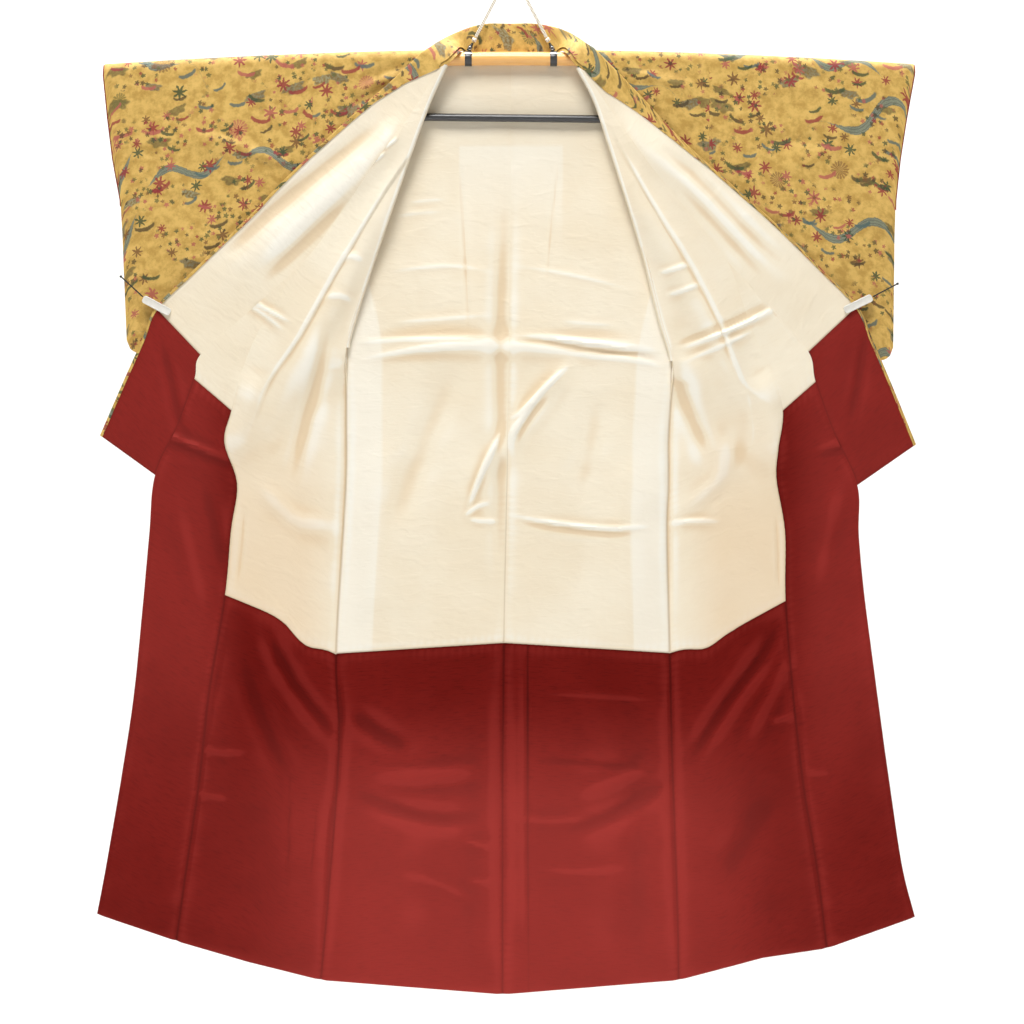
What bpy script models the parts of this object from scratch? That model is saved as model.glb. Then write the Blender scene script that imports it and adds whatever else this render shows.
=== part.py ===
"""A lined kimono hung open on a pole hanger, so that its whole lining faces forward.

Metres, +Z up, the viewer at -Y. The origin is the inside top of the hanger's ring, where a
hook holds it. Left and right are the viewer's. Each panel is a wall made from a grid of
points on the outer silk's middle surface: the silk lies on both sides of those points and
the lining on the same points, moved out.
"""
import math
from collections import namedtuple

import bpy
import numpy as np

for old in list(bpy.data.objects):
    bpy.data.objects.remove(old, do_unlink=True)

MM = 0.001
LEFT = -1
RIGHT = 1

# Cloth walls, measured along the lining side from the outer silk's middle surface
SEAM_GAP = 0.3 * MM
SILK_FACE = 0.6 * MM
LINING_NEAR = SILK_FACE + SEAM_GAP
LINING_FAR = LINING_NEAR + 1.0 * MM

# Hanger pole, bowed by the weight of the sleeves
POLE_RADIUS = 11.5 * MM
POLE_Z = -161.0 * MM
POLE_BOW = 0.060
POLE_HALF_LENGTH = 645 * MM
DRAPE_RADIUS = 14.8 * MM

# How the front and back walls close towards the sleeves' lower edges
FALL = 490 * MM
MEET_DEPTH = 4.25 * MM
BODY_HALF_GAP = 2.4 * MM
SLEEVE_HALF_GAP = 0.75 * MM

# The roll line of an opened front: its half turn, and how far below it the front comes to rest
# against the back, from beside the roll to the clip's edge
ROLL_RADIUS = 4.5 * MM
ROLL_COLUMNS = 3
SETTLE_NEAR = 80 * MM
SETTLE_MORE = 320 * MM
SETTLE_X = 270 * MM
SETTLE_WIDTH = 330 * MM

# Folds fade out at these distances from the centre: at the side seams, and at the roll lines
BACK_FADE_X = 300 * MM
SEAM_FADE_X = 262 * MM
ROLL_FADE_X = 162 * MM
FADE_WIDTH = 50 * MM

# Seams and edges
ARMHOLE_X = 330 * MM
SLEEVE_CORNER = 22 * MM
CUFF_LINING_FRACTION = 0.72
CUFF_LINING_REACH = 2 * MM
COLLAR_TURN_RADIUS = 1.4 * MM
COLLAR_NECK_FOLD = 50 * MM
COLLAR_FOLD_CLEAR = 6 * MM
COLLAR_BAND_CLEAR = 2 * MM
OKUMI_TIP = 0.6 * MM
SHARP_ANGLE = 40

# How finely the tables' lines and the spaces between them are divided
STEPS = 2
PANEL_COLUMNS = 2

# Crosswise sections of an opened front, in millimetres. Each runs from the roll line, which
# becomes the side seam below, over the long pleat and the okumi seam to the collar seam,
# which becomes the okumi's free edge below, and to the collar's free edge.
Section = namedtuple("Section", "name roll_x roll_z pleat_x pleat_z okumi_x okumi_z "
                                "seam_x seam_z edge_x edge_z")
FRONT_SECTIONS = {
    LEFT: [
        Section("neck", -107, -175, -115, -177, -119, -179, -119, -179, -145, -153),
        Section("collarbone", -133, -232, -148, -242, -163, -250, -163, -250, -203, -207),
        Section("chest", -160, -303, -178, -325, -227, -338, -227, -338, -282, -277),
        Section("armpit", -198, -412, -238, -423, -302, -447, -302, -447, -380, -370),
        Section("okumi tip", -225, -490, -278, -497, -352, -507, -352, -507, -433, -425),
        Section("above clip", -255, -575, -337, -600, -415, -607, -452, -597, -528, -517),
        Section("clip", -275, -643, -370, -660, -447, -680, -517, -655, -590, -578),
        Section("below clip", -275, -705, -392, -727, -465, -748, -527, -695, -613, -632),
        Section("pleat end", -275, -772, -408, -793, -477, -800, -555, -772, -645, -703),
        Section("collar end", -275, -855, -375, -863, -457, -870, -593, -855, -683, -790),
        Section("hip", -280, -947, -375, -950, -467, -948, -603, -950, None, None),
        Section("lining seam", -292, -1153, -375, -1097, -477, -1055, -613, -1063, None, None),
        Section("thigh", -287, -1280, -392, -1243, -503, -1213, -628, -1217, None, None),
        Section("knee", -292, -1397, -405, -1380, -520, -1363, -650, -1363, None, None),
        Section("calf", -303, -1538, -420, -1517, -540, -1500, -675, -1507, None, None),
        Section("hem", -317, -1695, -438, -1665, -558, -1630, -690, -1585, None, None),
    ],
    RIGHT: [
        Section("neck", 110, -180, 118, -182, 121, -184, 121, -184, 137, -148),
        Section("collarbone", 138, -233, 152, -243, 168, -252, 168, -252, 208, -220),
        Section("chest", 163, -307, 182, -325, 233, -343, 233, -343, 283, -300),
        Section("armpit", 198, -417, 247, -427, 312, -438, 312, -438, 378, -385),
        Section("okumi tip", 222, -497, 285, -502, 360, -500, 360, -500, 435, -435),
        Section("above clip", 248, -593, 335, -600, 398, -605, 437, -580, 512, -510),
        Section("clip", 270, -665, 377, -667, 432, -683, 495, -650, 575, -575),
        Section("below clip", 267, -727, 398, -735, 452, -748, 507, -700, 602, -635),
        Section("pleat end", 263, -797, 402, -803, 445, -812, 537, -783, 637, -717),
        Section("collar end", 263, -872, 363, -872, 443, -863, 577, -872, 673, -805),
        Section("hip", 260, -955, 363, -953, 457, -950, 580, -955, None, None),
        Section("lining seam", 265, -1152, 370, -1113, 458, -1065, 590, -1063, None, None),
        Section("thigh", 268, -1288, 375, -1250, 470, -1217, 610, -1217, None, None),
        Section("knee", 272, -1405, 383, -1388, 488, -1372, 630, -1363, None, None),
        Section("calf", 277, -1547, 398, -1527, 510, -1507, 652, -1507, None, None),
        Section("hem", 280, -1695, 420, -1658, 527, -1642, 673, -1590, None, None),
    ],
}
SECTION_NAMES = [section.name for section in FRONT_SECTIONS[LEFT]]
ARMPIT = SECTION_NAMES.index("armpit")
CLIP = SECTION_NAMES.index("clip")
OKUMI_TIP_SECTION = SECTION_NAMES.index("okumi tip")
OKUMI_RED = SECTION_NAMES.index("below clip")
LINING_SEAM = SECTION_NAMES.index("lining seam")

# Where the shoulder stretch meets the armhole, beside the sections from collarbone to clip
ArmholePoint = namedtuple("ArmholePoint", "x z")
ARMHOLE_POINTS = [
    ArmholePoint(330, -215), ArmholePoint(330, -300), ArmholePoint(330, -390),
    ArmholePoint(316, -480), ArmholePoint(294, -577), ArmholePoint(285, -640),
]

# The centre back seam, and the armhole and open side edge beside it, in millimetres
BackRow = namedtuple("BackRow", "centre_x centre_z side_x side_z")
BACK_UPPER = [
    BackRow(0, -197, 330, -197), BackRow(0, -263, 330, -263), BackRow(0, -380, 330, -380),
    BackRow(-2, -500, 304, -510), BackRow(-3, -580, 284, -590),
]
CentrePoint = namedtuple("CentrePoint", "x z")
BACK_CENTRE_LOWER = [
    CentrePoint(-3, -650), CentrePoint(-4, -712), CentrePoint(-5, -780), CentrePoint(-6, -860),
    CentrePoint(-8, -940), CentrePoint(-12, -1135), CentrePoint(-13, -1275),
    CentrePoint(-14, -1405), CentrePoint(-14, -1550), CentrePoint(-14, -1719),
]
BACK_COLUMNS = (0.0, 0.2, 0.42, 0.7, 1.0)
# Over the pole from behind, by degrees from its top, and the shoulder cloth's neck edge there
PoleRow = namedtuple("PoleRow", "turn neck_x")
POLE_ROWS = [PoleRow(-90, 93), PoleRow(-60, 95), PoleRow(-30, 101), PoleRow(0, 110),
             PoleRow(30, 118), PoleRow(60, 123), PoleRow(90, 124)]
# How much of a half turn the shoulder cloth makes at the neck before the whole roll starts
FIRST_BENDS = (0.45, 0.8)

# The collar between the two fronts: its neck seam, its folded edge and where they lie
NeckSection = namedtuple("NeckSection", "seam_x seam_y seam_z edge_x edge_y edge_z")
COLLAR_NECK = [
    NeckSection(-93, -14, -150.5, -122, -9, -137),
    NeckSection(-80, 9, -146.8, -98, 20, -122),
    NeckSection(-66, 17.8, -158.5, -68, 18, -108),
    NeckSection(-40, 15.0, -159.6, -40, 15, -102.5),
    NeckSection(0, 14.8, -160, 0, 15, -102.5),
    NeckSection(40, 15.0, -159.6, 40, 15, -102.5),
    NeckSection(66, 17.8, -158.5, 75, 18, -109),
    NeckSection(82, 9, -146.8, 100, 20, -120),
    NeckSection(96, -14, -150.5, 118, -9, -134),
]
# How wide the doubled part of the collar still is, by distance along its edge from the neck
CollarFold = namedtuple("CollarFold", "distance width")
COLLAR_FOLDS = {
    LEFT: [CollarFold(0, 38), CollarFold(58, 17), CollarFold(116, 7), CollarFold(256, 3)],
    RIGHT: [CollarFold(0, 38), CollarFold(64, 36), CollarFold(150, 17), CollarFold(203, 9),
            CollarFold(275, 3)],
}

# The cuff's edge from the pole down, in millimetres
CuffPoint = namedtuple("CuffPoint", "z x")
CUFF_EDGE = {
    LEFT: [CuffPoint(-165, 674), CuffPoint(-190, 677), CuffPoint(-263, 670), CuffPoint(-330, 662),
           CuffPoint(-397, 650), CuffPoint(-530, 645), CuffPoint(-652, 640)],
    RIGHT: [CuffPoint(-165, 672), CuffPoint(-190, 670), CuffPoint(-263, 657), CuffPoint(-330, 647),
            CuffPoint(-397, 640), CuffPoint(-597, 638), CuffPoint(-664, 637)],
}
SLEEVE_COLUMNS = (0.0, 0.25, 0.5, CUFF_LINING_FRACTION, 0.88, 0.96, 1.0)
SLEEVE_ROWS = (0.0, 0.2, 0.4, 0.6, 0.8, 0.93, 1.0)
SLEEVE_TURN_ROWS = 4
# The share of the fall that stays open at the cuff, and where and how the two walls close
CUFF_OPENING = 0.5
CUFF_CLOSING = 0.1
CUFF_SEAM_START = 0.7
BOTTOM_CLOSING_START = 0.6
ARMHOLE_FADE = 0.1

# Folds that stand out of a flat panel, in millimetres, height towards the viewer
Fold = namedtuple("Fold", "x0 z0 x1 z1 half_width height")
FRONT_FOLDS = [
    Fold(-165, -330, -405, -780, 24, 9), Fold(170, -320, 398, -730, 24, 9),
    Fold(-205, -450, -300, -650, 26, -3), Fold(205, -450, 300, -650, 26, -3),
    Fold(-425, -690, -470, -830, 26, 8), Fold(418, -690, 450, -840, 26, 8),
    Fold(-320, -720, -345, -900, 34, 6), Fold(322, -720, 330, -880, 34, 6),
    Fold(-417, -1090, -308, -1303, 30, 7), Fold(432, -1133, 300, -1325, 30, 6),
    Fold(-420, -1350, -445, -1640, 55, -6), Fold(408, -1350, 432, -1640, 55, -6),
    Fold(-600, -1100, -655, -1560, 40, 6), Fold(585, -1100, 640, -1560, 40, 6),
    Fold(-640, -760, -520, -815, 18, 4), Fold(640, -770, 540, -800, 18, 4),
]
BACK_FOLDS = [
    Fold(100, -667, -57, -867, 18, 5), Fold(-230, -640, 230, -640, 14, 4),
    Fold(-150, -1200, -165, -1690, 45, 6), Fold(140, -1200, 150, -1690, 45, 6),
    Fold(-60, -1250, -70, -1700, 30, -4), Fold(210, -1250, 215, -1680, 30, -4),
    Fold(-215, -820, -235, -1100, 30, 5), Fold(205, -820, 215, -1100, 30, 5),
]
SLEEVE_FOLDS = [
    Fold(-568, -285, -372, -345, 16, 4), Fold(-560, -460, -430, -540, 26, 3),
    Fold(560, -300, 440, -350, 18, 3), Fold(590, -470, 470, -540, 26, 3),
]

# The pole's rounded ends: distance from the end, and share of the full radius there
PoleEnd = namedtuple("PoleEnd", "distance share")
POLE_ENDS = [PoleEnd(0, 0.55), PoleEnd(3, 0.87), PoleEnd(8, 1.0), PoleEnd(90, 1.0)]
POLE_PIECES = 12
POLE_SIDES = 16

# The hanger's smaller pieces
STRAP_X = 71 * MM
STRAP_WIDTH = 12 * MM
STRAP_WALL = 0.8 * MM
STRAP_SIDES = 16
RING_RADIUS = 14 * MM
RING_WIRE = 2 * MM
RING_Z = RING_WIRE - RING_RADIUS
RING_SIDES = 24
RING_WIRE_SIDES = 6
SNAP_START = 2 * MM
SNAP_LENGTH = 14 * MM
SNAP_RADIUS = 3.6 * MM
SNAP_NECK_RADIUS = 2.2 * MM
SNAP_BODY_END = 0.6
SNAP_NECK_START = 0.7
BEAD_RADIUS = 5 * MM
BEAD_RINGS = 8
SMALL_SIDES = 12
HANGER_CORD = 3 * MM
LOWER_ROD_RADIUS = 6.5 * MM
LOWER_ROD_HALF_LENGTH = 240 * MM
LOWER_ROD_Z = -260 * MM
LOWER_ROD_Y = 1 * MM
LOWER_ROD_SLOPE = 2.8 * MM
LOWER_ROD_SIDES = 14
LINK_X = 200 * MM
LINK_RADIUS = 2 * MM
LINK_SIDES = 10

# The clips on the opened edges and their cords
CLIP_LENGTH = 55 * MM
CLIP_WIDTH = 16 * MM
CLIP_THICKNESS = 10.5 * MM
CLIP_SLOT = 5.6 * MM
CLIP_SLOT_BACK = 4 * MM
CLIP_GRIP = 25 * MM
CLIP_ROUNDING = 1.2 * MM
CLIP_END_STEPS = 6
CLIP_CORD = 2 * MM
CORD_DIAMETERS_A_PIECE = 3
ClipPlace = namedtuple("ClipPlace", "x z inward_x inward_z cord_x cord_z")
CLIPS = {
    LEFT: ClipPlace(-587, -575, 28, -18, -649, -525),
    RIGHT: ClipPlace(575, -572, -28, -14, 643, -537),
}

Look = namedtuple("Look", "colour roughness metallic")
LOOKS = {
    "gold silk": Look((0.62, 0.40, 0.11), 0.6, 0.0),
    "cream silk": Look((0.88, 0.80, 0.64), 0.5, 0.0),
    "red silk": Look((0.26, 0.02, 0.035), 0.55, 0.0),
    "orange wood": Look((0.80, 0.35, 0.10), 0.35, 0.0),
    "black metal": Look((0.02, 0.02, 0.025), 0.35, 0.6),
    "black cord": Look((0.02, 0.02, 0.02), 0.8, 0.0),
    "steel": Look((0.62, 0.60, 0.58), 0.3, 1.0),
    "white cord": Look((0.85, 0.83, 0.78), 0.8, 0.0),
    "white plastic": Look((0.88, 0.86, 0.80), 0.4, 0.0),
}
SIDES = {LEFT: "left", RIGHT: "right"}
materials = {}


def material(name):
    """The Principled BSDF material of this name, made once."""
    if name not in materials:
        made = bpy.data.materials.new(name)
        made.use_nodes = True
        shader = made.node_tree.nodes["Principled BSDF"]
        look = LOOKS[name]
        shader.inputs["Base Color"].default_value = (*look.colour, 1.0)
        shader.inputs["Roughness"].default_value = look.roughness
        shader.inputs["Metallic"].default_value = look.metallic
        materials[name] = made
    return materials[name]


def facing_out(points, faces):
    """The faces, all turned over if they enclose a negative volume."""
    volume = 0.0
    for face in faces:
        for second, third in zip(face[1:], face[2:]):
            volume += np.dot(points[face[0]], np.cross(points[second], points[third]))
    return faces if volume > 0 else [face[::-1] for face in faces]


def add_mesh(name, points, faces, look, smooth=True):
    """One named object from points and faces, in its material."""
    faces = facing_out(points, faces)
    mesh = bpy.data.meshes.new(name)
    mesh.from_pydata([tuple(point) for point in points], [], faces)
    mesh.validate()
    if smooth:
        mesh.shade_smooth()
        mesh.set_sharp_from_angle(angle=math.radians(SHARP_ANGLE))
    mesh.materials.append(material(look))
    made = bpy.data.objects.new(name, mesh)
    bpy.context.scene.collection.objects.link(made)
    return made


def smoothstep(value):
    """An S curve from 0 to 1."""
    value = min(max(value, 0.0), 1.0)
    return value * value * (3 - 2 * value)


def unit(vector):
    """The vector at length 1."""
    return vector / np.linalg.norm(vector)


def refine(points, steps):
    """A smooth curve through the points, with this many steps between each two."""
    points = [np.array(point, float) for point in points]
    ends = [2 * points[0] - points[1]] + points + [2 * points[-1] - points[-2]]
    curve = []
    for before, start, end, after in zip(ends, ends[1:], ends[2:], ends[3:]):
        for step in range(steps):
            t = step / steps
            curve.append(0.5 * (2 * start + (end - before) * t
                                + (2 * before - 5 * start + 4 * end - after) * t ** 2
                                + (3 * start - before - 3 * end + after) * t ** 3))
    curve.append(points[-1])
    return curve


def fold_height(x, z, folds):
    """How far the folds lift this place of a panel towards the viewer."""
    total = 0.0
    for fold in folds:
        start = np.array((fold.x0, fold.z0)) * MM
        along = np.array((fold.x1, fold.z1)) * MM - start
        place = np.array((x, z)) - start
        share = min(max(place @ along / (along @ along), 0.0), 1.0)
        distance = np.linalg.norm(place - share * along)
        total += fold.height * MM * math.exp(-(distance / (fold.half_width * MM)) ** 2)
    return total


def pole_z(x):
    """The bowed pole's axis."""
    return POLE_Z - POLE_BOW * x * x


def wall_depths(x, z):
    """The depths of the front and back walls that hang from the pole."""
    fallen = min(max((pole_z(x) - z) / FALL, 0.0), 1.0)
    middle = MEET_DEPTH * fallen
    half_gap = DRAPE_RADIUS * (1 - fallen) + BODY_HALF_GAP * fallen
    return middle - half_gap, middle + half_gap


def back_depth(x, z):
    """The depth of the back panels."""
    fade = smoothstep((BACK_FADE_X - abs(x)) / FADE_WIDTH)
    return wall_depths(x, z)[1] - fold_height(x, z, BACK_FOLDS) * fade


def front_depth(x, z):
    """The depth of an opened front: over the sleeve and shoulder, then down to the side seam."""
    lapel = wall_depths(x, z)[0] - 2 * ROLL_RADIUS
    top = FRONT_SECTIONS[RIGHT if x > 0 else LEFT][CLIP].roll_z * MM
    reach = SETTLE_NEAR + SETTLE_MORE * smoothstep((abs(x) - SETTLE_X) / SETTLE_WIDTH)
    settled = smoothstep((top - z) / reach)
    depth = lapel * (1 - settled) + wall_depths(x, z)[1] * settled
    fade = smoothstep((abs(x) - (ROLL_FADE_X if z > top else SEAM_FADE_X)) / FADE_WIDTH)
    return depth - fold_height(x, z, FRONT_FOLDS) * fade


def on_surface(x, z, depth):
    """A point of a hanging panel and its normal towards the viewer."""
    step = 2 * MM
    slope_x = (depth(x + step, z) - depth(x - step, z)) / (2 * step)
    slope_z = (depth(x, z + step) - depth(x, z - step)) / (2 * step)
    return np.array((x, depth(x, z), z)), unit(np.array((slope_x, -1.0, slope_z)))


def over_pole(x, turn):
    """A point of the cloth over the pole, this turn forward of its top, and its inner normal."""
    inner = np.array((0.0, math.sin(turn), -math.cos(turn)))
    return np.array((x, 0.0, pole_z(x))) - DRAPE_RADIUS * inner, inner


def wall(name, grid, near, far, look):
    """A closed wall between two offsets of a grid; each cell is cut along its shorter diagonal."""
    rows = len(grid)
    columns = len(grid[0])
    low = [point + normal * near for row in grid for point, normal in row]
    high = [point + normal * far for row in grid for point, normal in row]
    count = rows * columns
    faces = []
    for i in range(rows - 1):
        for j in range(columns - 1):
            a = i * columns + j
            corners = [a, a + 1, a + columns + 1, a + columns]
            falling = grid[i + 1][j + 1][0] - grid[i][j][0]
            rising = grid[i][j + 1][0] - grid[i + 1][j][0]
            if falling @ falling > rising @ rising:
                corners = corners[1:] + corners[:1]
            a, b, c, d = corners
            faces += [(a, b, c), (a, c, d)]
            faces += [(count + a, count + c, count + b), (count + a, count + d, count + c)]
    rim = [j for j in range(columns)]
    rim += [i * columns + columns - 1 for i in range(1, rows)]
    rim += [(rows - 1) * columns + j for j in range(columns - 2, -1, -1)]
    rim += [i * columns for i in range(rows - 2, 0, -1)]
    for start, end in zip(rim, rim[1:] + rim[:1]):
        faces += [(end, start, count + start), (end, count + start, count + end)]
    return add_mesh(name, low + high, faces, look)


def trimmed(grid, sides="both"):
    """The grid with its first and last columns drawn in by half a seam's gap."""
    result = []
    for row in grid:
        row = list(row)
        for end, neighbour in ((0, 1), (-1, -2)):
            if sides == "both" or (sides == "first") == (end == 0):
                point, normal = row[end]
                inward = unit(row[neighbour][0] - point)
                row[end] = (point + inward * SEAM_GAP / 2, normal)
        result.append(row)
    return result


def cut_rows(grid, first, last):
    """Rows first to last, drawn in by half a seam's gap where the grid goes on."""
    rows = [list(row) for row in grid[first:last + 1]]
    for end, neighbour, goes_on in ((0, 1, first > 0), (-1, -2, last < len(grid) - 1)):
        if goes_on:
            rows[end] = [(point + unit(inner[0] - point) * SEAM_GAP / 2, normal)
                         for (point, normal), inner in zip(rows[end], rows[neighbour])]
    return rows


def spread(start, end, steps):
    """Places from start to end in equal steps."""
    return [start + (end - start) * step / steps for step in range(steps + 1)]


def section_lines(side):
    """Smooth lines down an opened front, one for each named place across its sections."""
    lines = {}
    for place in ("roll", "pleat", "okumi", "seam", "edge"):
        points = [(getattr(section, place + "_x"), getattr(section, place + "_z"))
                  for section in FRONT_SECTIONS[side] if getattr(section, place + "_x") is not None]
        lines[place] = [point * MM for point in refine(points, STEPS)]
    for row in range(CLIP * STEPS):
        shift = ROLL_RADIUS * min(1.0, (CLIP * STEPS - row) / (2 * STEPS))
        lines["roll"][row] = lines["roll"][row] + np.array((side * shift, 0.0))
    first = OKUMI_TIP_SECTION * STEPS
    lines["okumi"][:first] = lines["seam"][:first]
    lines["okumi"][first] = lines["seam"][first] - np.array((side * OKUMI_TIP, 0.0))
    return lines


def strip(lines, places, first=0, last=None):
    """The grid of surface points between named lines, from row first to row last."""
    last = min(len(lines[place]) for place in places) - 1 if last is None else last
    grid = []
    for row in range(first, last + 1):
        across = []
        for start, end in zip(places, places[1:]):
            across += spread(lines[start][row], lines[end][row], PANEL_COLUMNS)[:-1]
        across.append(lines[places[-1]][row])
        grid.append([on_surface(x, z, front_depth) for x, z in across])
    return grid


def make_front(side, lines):
    """The front panel, turned back, with its cream and red linings; its top beside the neck is
    a piece of its own, so that collision follows the curved roll line."""
    grid = trimmed(strip(lines, ("roll", "pleat", "okumi")))
    top_row = ARMPIT * STEPS
    seam_row = LINING_SEAM * STEPS
    end_row = len(grid) - 1
    wall(f"front_top_{SIDES[side]}", cut_rows(grid, 0, top_row), -SILK_FACE, SILK_FACE, "gold silk")
    wall(f"front_{SIDES[side]}", cut_rows(grid, top_row, end_row), -SILK_FACE, SILK_FACE, "gold silk")
    wall(f"front_lining_{SIDES[side]}", cut_rows(grid, 0, seam_row), LINING_NEAR, LINING_FAR, "cream silk")
    wall(f"front_hem_lining_{SIDES[side]}", cut_rows(grid, seam_row, end_row),
         LINING_NEAR, LINING_FAR, "red silk")


def make_okumi(side, lines):
    """The overlap panel from its tip on the collar seam to the hem."""
    grid = trimmed(strip(lines, ("okumi", "seam"), first=OKUMI_TIP_SECTION * STEPS))
    red_row = (OKUMI_RED - OKUMI_TIP_SECTION) * STEPS
    end_row = len(grid) - 1
    wall(f"okumi_{SIDES[side]}", grid, -SILK_FACE, SILK_FACE, "gold silk")
    wall(f"okumi_lining_{SIDES[side]}", cut_rows(grid, 0, red_row), LINING_NEAR, LINING_FAR, "cream silk")
    wall(f"okumi_hem_lining_{SIDES[side]}", cut_rows(grid, red_row, end_row),
         LINING_NEAR, LINING_FAR, "red silk")


def make_collar_linings(side, lines):
    """The collar's cream lining down to the clip and its red lining to the collar's end."""
    grid = trimmed(strip(lines, ("seam", "edge")), "first")
    for row in grid:
        point, normal = row[-1]
        row[-1] = (point + unit(row[-2][0] - point) * SILK_FACE, normal)
    clip_row = CLIP * STEPS
    wall(f"collar_lining_{SIDES[side]}", cut_rows(grid, 0, clip_row),
         LINING_NEAR, LINING_FAR, "cream silk")
    wall(f"collar_end_lining_{SIDES[side]}", cut_rows(grid, clip_row, len(grid) - 1),
         LINING_NEAR, LINING_FAR, "red silk")


def folded_band(flat, fold):
    """A band's flat points, its turn at the edge and its folded-in part."""
    edge, normal = flat[-1]
    outward = unit(edge - flat[-2][0])
    row = list(flat)
    for angle in (math.pi / 2, math.pi):
        shift = normal * (1 - math.cos(angle)) + outward * math.sin(angle)
        turned = normal * math.cos(angle) - outward * math.sin(angle)
        row.append((edge + COLLAR_TURN_RADIUS * shift, turned))
    row.append((edge + 2 * COLLAR_TURN_RADIUS * normal - outward * fold, -normal))
    return row


def make_collar(lines):
    """The collar: opened out along both fronts and doubled round the back of the neck."""
    rows = []
    for side in (LEFT, RIGHT):
        flats = trimmed(strip(lines[side], ("seam", "edge")), "first")
        distances = [fold.distance * MM for fold in COLLAR_FOLDS[side]]
        widths = [fold.width * MM for fold in COLLAR_FOLDS[side]]
        bands = []
        run = 0.0
        for flat, before in zip(flats, flats[:1] + flats):
            run += np.linalg.norm(flat[-1][0] - before[-1][0])
            room = np.linalg.norm(flat[-1][0] - flat[0][0]) - COLLAR_BAND_CLEAR
            bands.append(folded_band(flat, min(room, np.interp(run, distances, widths))))
        if side == LEFT:
            rows += bands[::-1]
            rows += neck_bands(flats[0], strip(lines[RIGHT], ("seam", "edge"))[0])
        else:
            rows += bands
    wall("collar", rows, -SILK_FACE, SILK_FACE, "gold silk")


def neck_bands(left_flat, right_flat):
    """The doubled collar's rows from the left front round the back of the neck to the right."""
    ends = [(flat[0][0], flat[-1][0]) for flat in (left_flat, right_flat)]
    neck = [(np.array((s.seam_x, s.seam_y, s.seam_z)) * MM, np.array((s.edge_x, s.edge_y, s.edge_z)) * MM)
            for s in COLLAR_NECK]
    pairs = [ends[0]] + neck + [ends[1]]
    path = refine([np.concatenate(pair) for pair in pairs], STEPS)
    bands = []
    for before, here, after in zip(path, path[1:], path[2:]):
        seam, edge = here[:3], here[3:]
        along = (after[:3] + after[3:]) - (before[:3] + before[3:])
        normal = unit(np.cross(along, edge - seam))
        flat = [(point, normal) for point in spread(seam, edge, PANEL_COLUMNS)]
        width = np.linalg.norm(edge - seam)
        bands.append(folded_band(flat, min(COLLAR_NECK_FOLD, width - COLLAR_FOLD_CLEAR)))
    return bands


def make_shoulder(side, lines):
    """The stretch over the pole that hangs gold side forward and turns round the roll line."""
    turn_length = math.pi * ROLL_RADIUS
    grid = []
    for row in POLE_ROWS:
        across = spread(ARMHOLE_X - SEAM_GAP / 2, row.neck_x * MM, PANEL_COLUMNS)
        across += [row.neck_x * MM - turn_length * step / ROLL_COLUMNS
                   for step in range(1, ROLL_COLUMNS + 1)]
        grid.append([over_pole(side * x, math.radians(row.turn)) for x in across])
    armhole = [point * MM for point in refine(ARMHOLE_POINTS, STEPS)]
    armhole = [np.array((side * min(x, ARMHOLE_X), z)) for x, z in armhole]
    under_pole = np.array((side * ARMHOLE_X, POLE_Z - DRAPE_RADIUS))
    armhole = [under_pole, (under_pole + armhole[0]) / 2] + armhole
    for row, (edge_x, edge_z) in enumerate(armhole):
        roll_x, roll_z = lines["roll"][row]
        bend = math.pi * (FIRST_BENDS[row] if row < len(FIRST_BENDS) else 1.0)
        line = []
        start = np.array((edge_x - side * SEAM_GAP / 2, edge_z))
        for x, z in spread(start, np.array((roll_x, roll_z)), PANEL_COLUMNS):
            line.append((np.array((x, wall_depths(x, z)[0], z)), np.array((0.0, 1.0, 0.0))))
        hinge = line[-1][0]
        for step in range(1, ROLL_COLUMNS + 1):
            angle = bend * step / ROLL_COLUMNS
            radius = turn_length / bend
            shift = np.array((-side * math.sin(angle), math.cos(angle) - 1, 0.0)) * radius
            line.append((hinge + shift, np.array((-side * math.sin(angle), math.cos(angle), 0.0))))
        line[-1] = (line[-1][0] - side * np.array((2 * SEAM_GAP, 0.0, 0.0)), line[-1][1])
        grid.append(line)
    wall(f"shoulder_{SIDES[side]}", grid, -SILK_FACE, SILK_FACE, "gold silk")
    wall(f"shoulder_lining_{SIDES[side]}", grid, LINING_NEAR, LINING_FAR, "cream silk")


def make_back(side, lines):
    """Half of the back, from the pole and the neck to the hem, with its linings."""
    rows = [(np.array((row.centre_x, row.centre_z)), np.array((row.side_x * side, row.side_z)))
            for row in BACK_UPPER]
    rows = [(centre * MM, edge * MM) for centre, edge in rows]
    centres = [point * MM for point in refine([(point.x, point.z) for point in BACK_CENTRE_LOWER], STEPS)]
    rows += list(zip(centres, lines["roll"][CLIP * STEPS:]))
    across = [side * ARMHOLE_X * share for share in BACK_COLUMNS]
    grid = [[on_surface(x, pole_z(x) - SEAM_GAP, back_depth) for x in across]]
    for centre, edge in rows:
        places = [centre + (edge - centre) * share for share in BACK_COLUMNS]
        grid.append([on_surface(x, z, back_depth) for x, z in places])
    grid = trimmed(grid)
    seam_row = 1 + len(BACK_UPPER) + (LINING_SEAM - CLIP) * STEPS
    wall(f"back_{SIDES[side]}", grid, -SILK_FACE, SILK_FACE, "gold silk")
    wall(f"back_lining_{SIDES[side]}", cut_rows(grid, 0, seam_row), LINING_NEAR, LINING_FAR, "cream silk")
    wall(f"back_hem_lining_{SIDES[side]}", cut_rows(grid, seam_row, len(grid) - 1),
         LINING_NEAR, LINING_FAR, "red silk")


def cuff_x(side, z):
    """The cuff edge's distance from the centre at this height."""
    edge = CUFF_EDGE[side]
    heights = [point.z * MM for point in edge][::-1]
    return np.interp(z, heights, [point.x * MM for point in edge][::-1])


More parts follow.
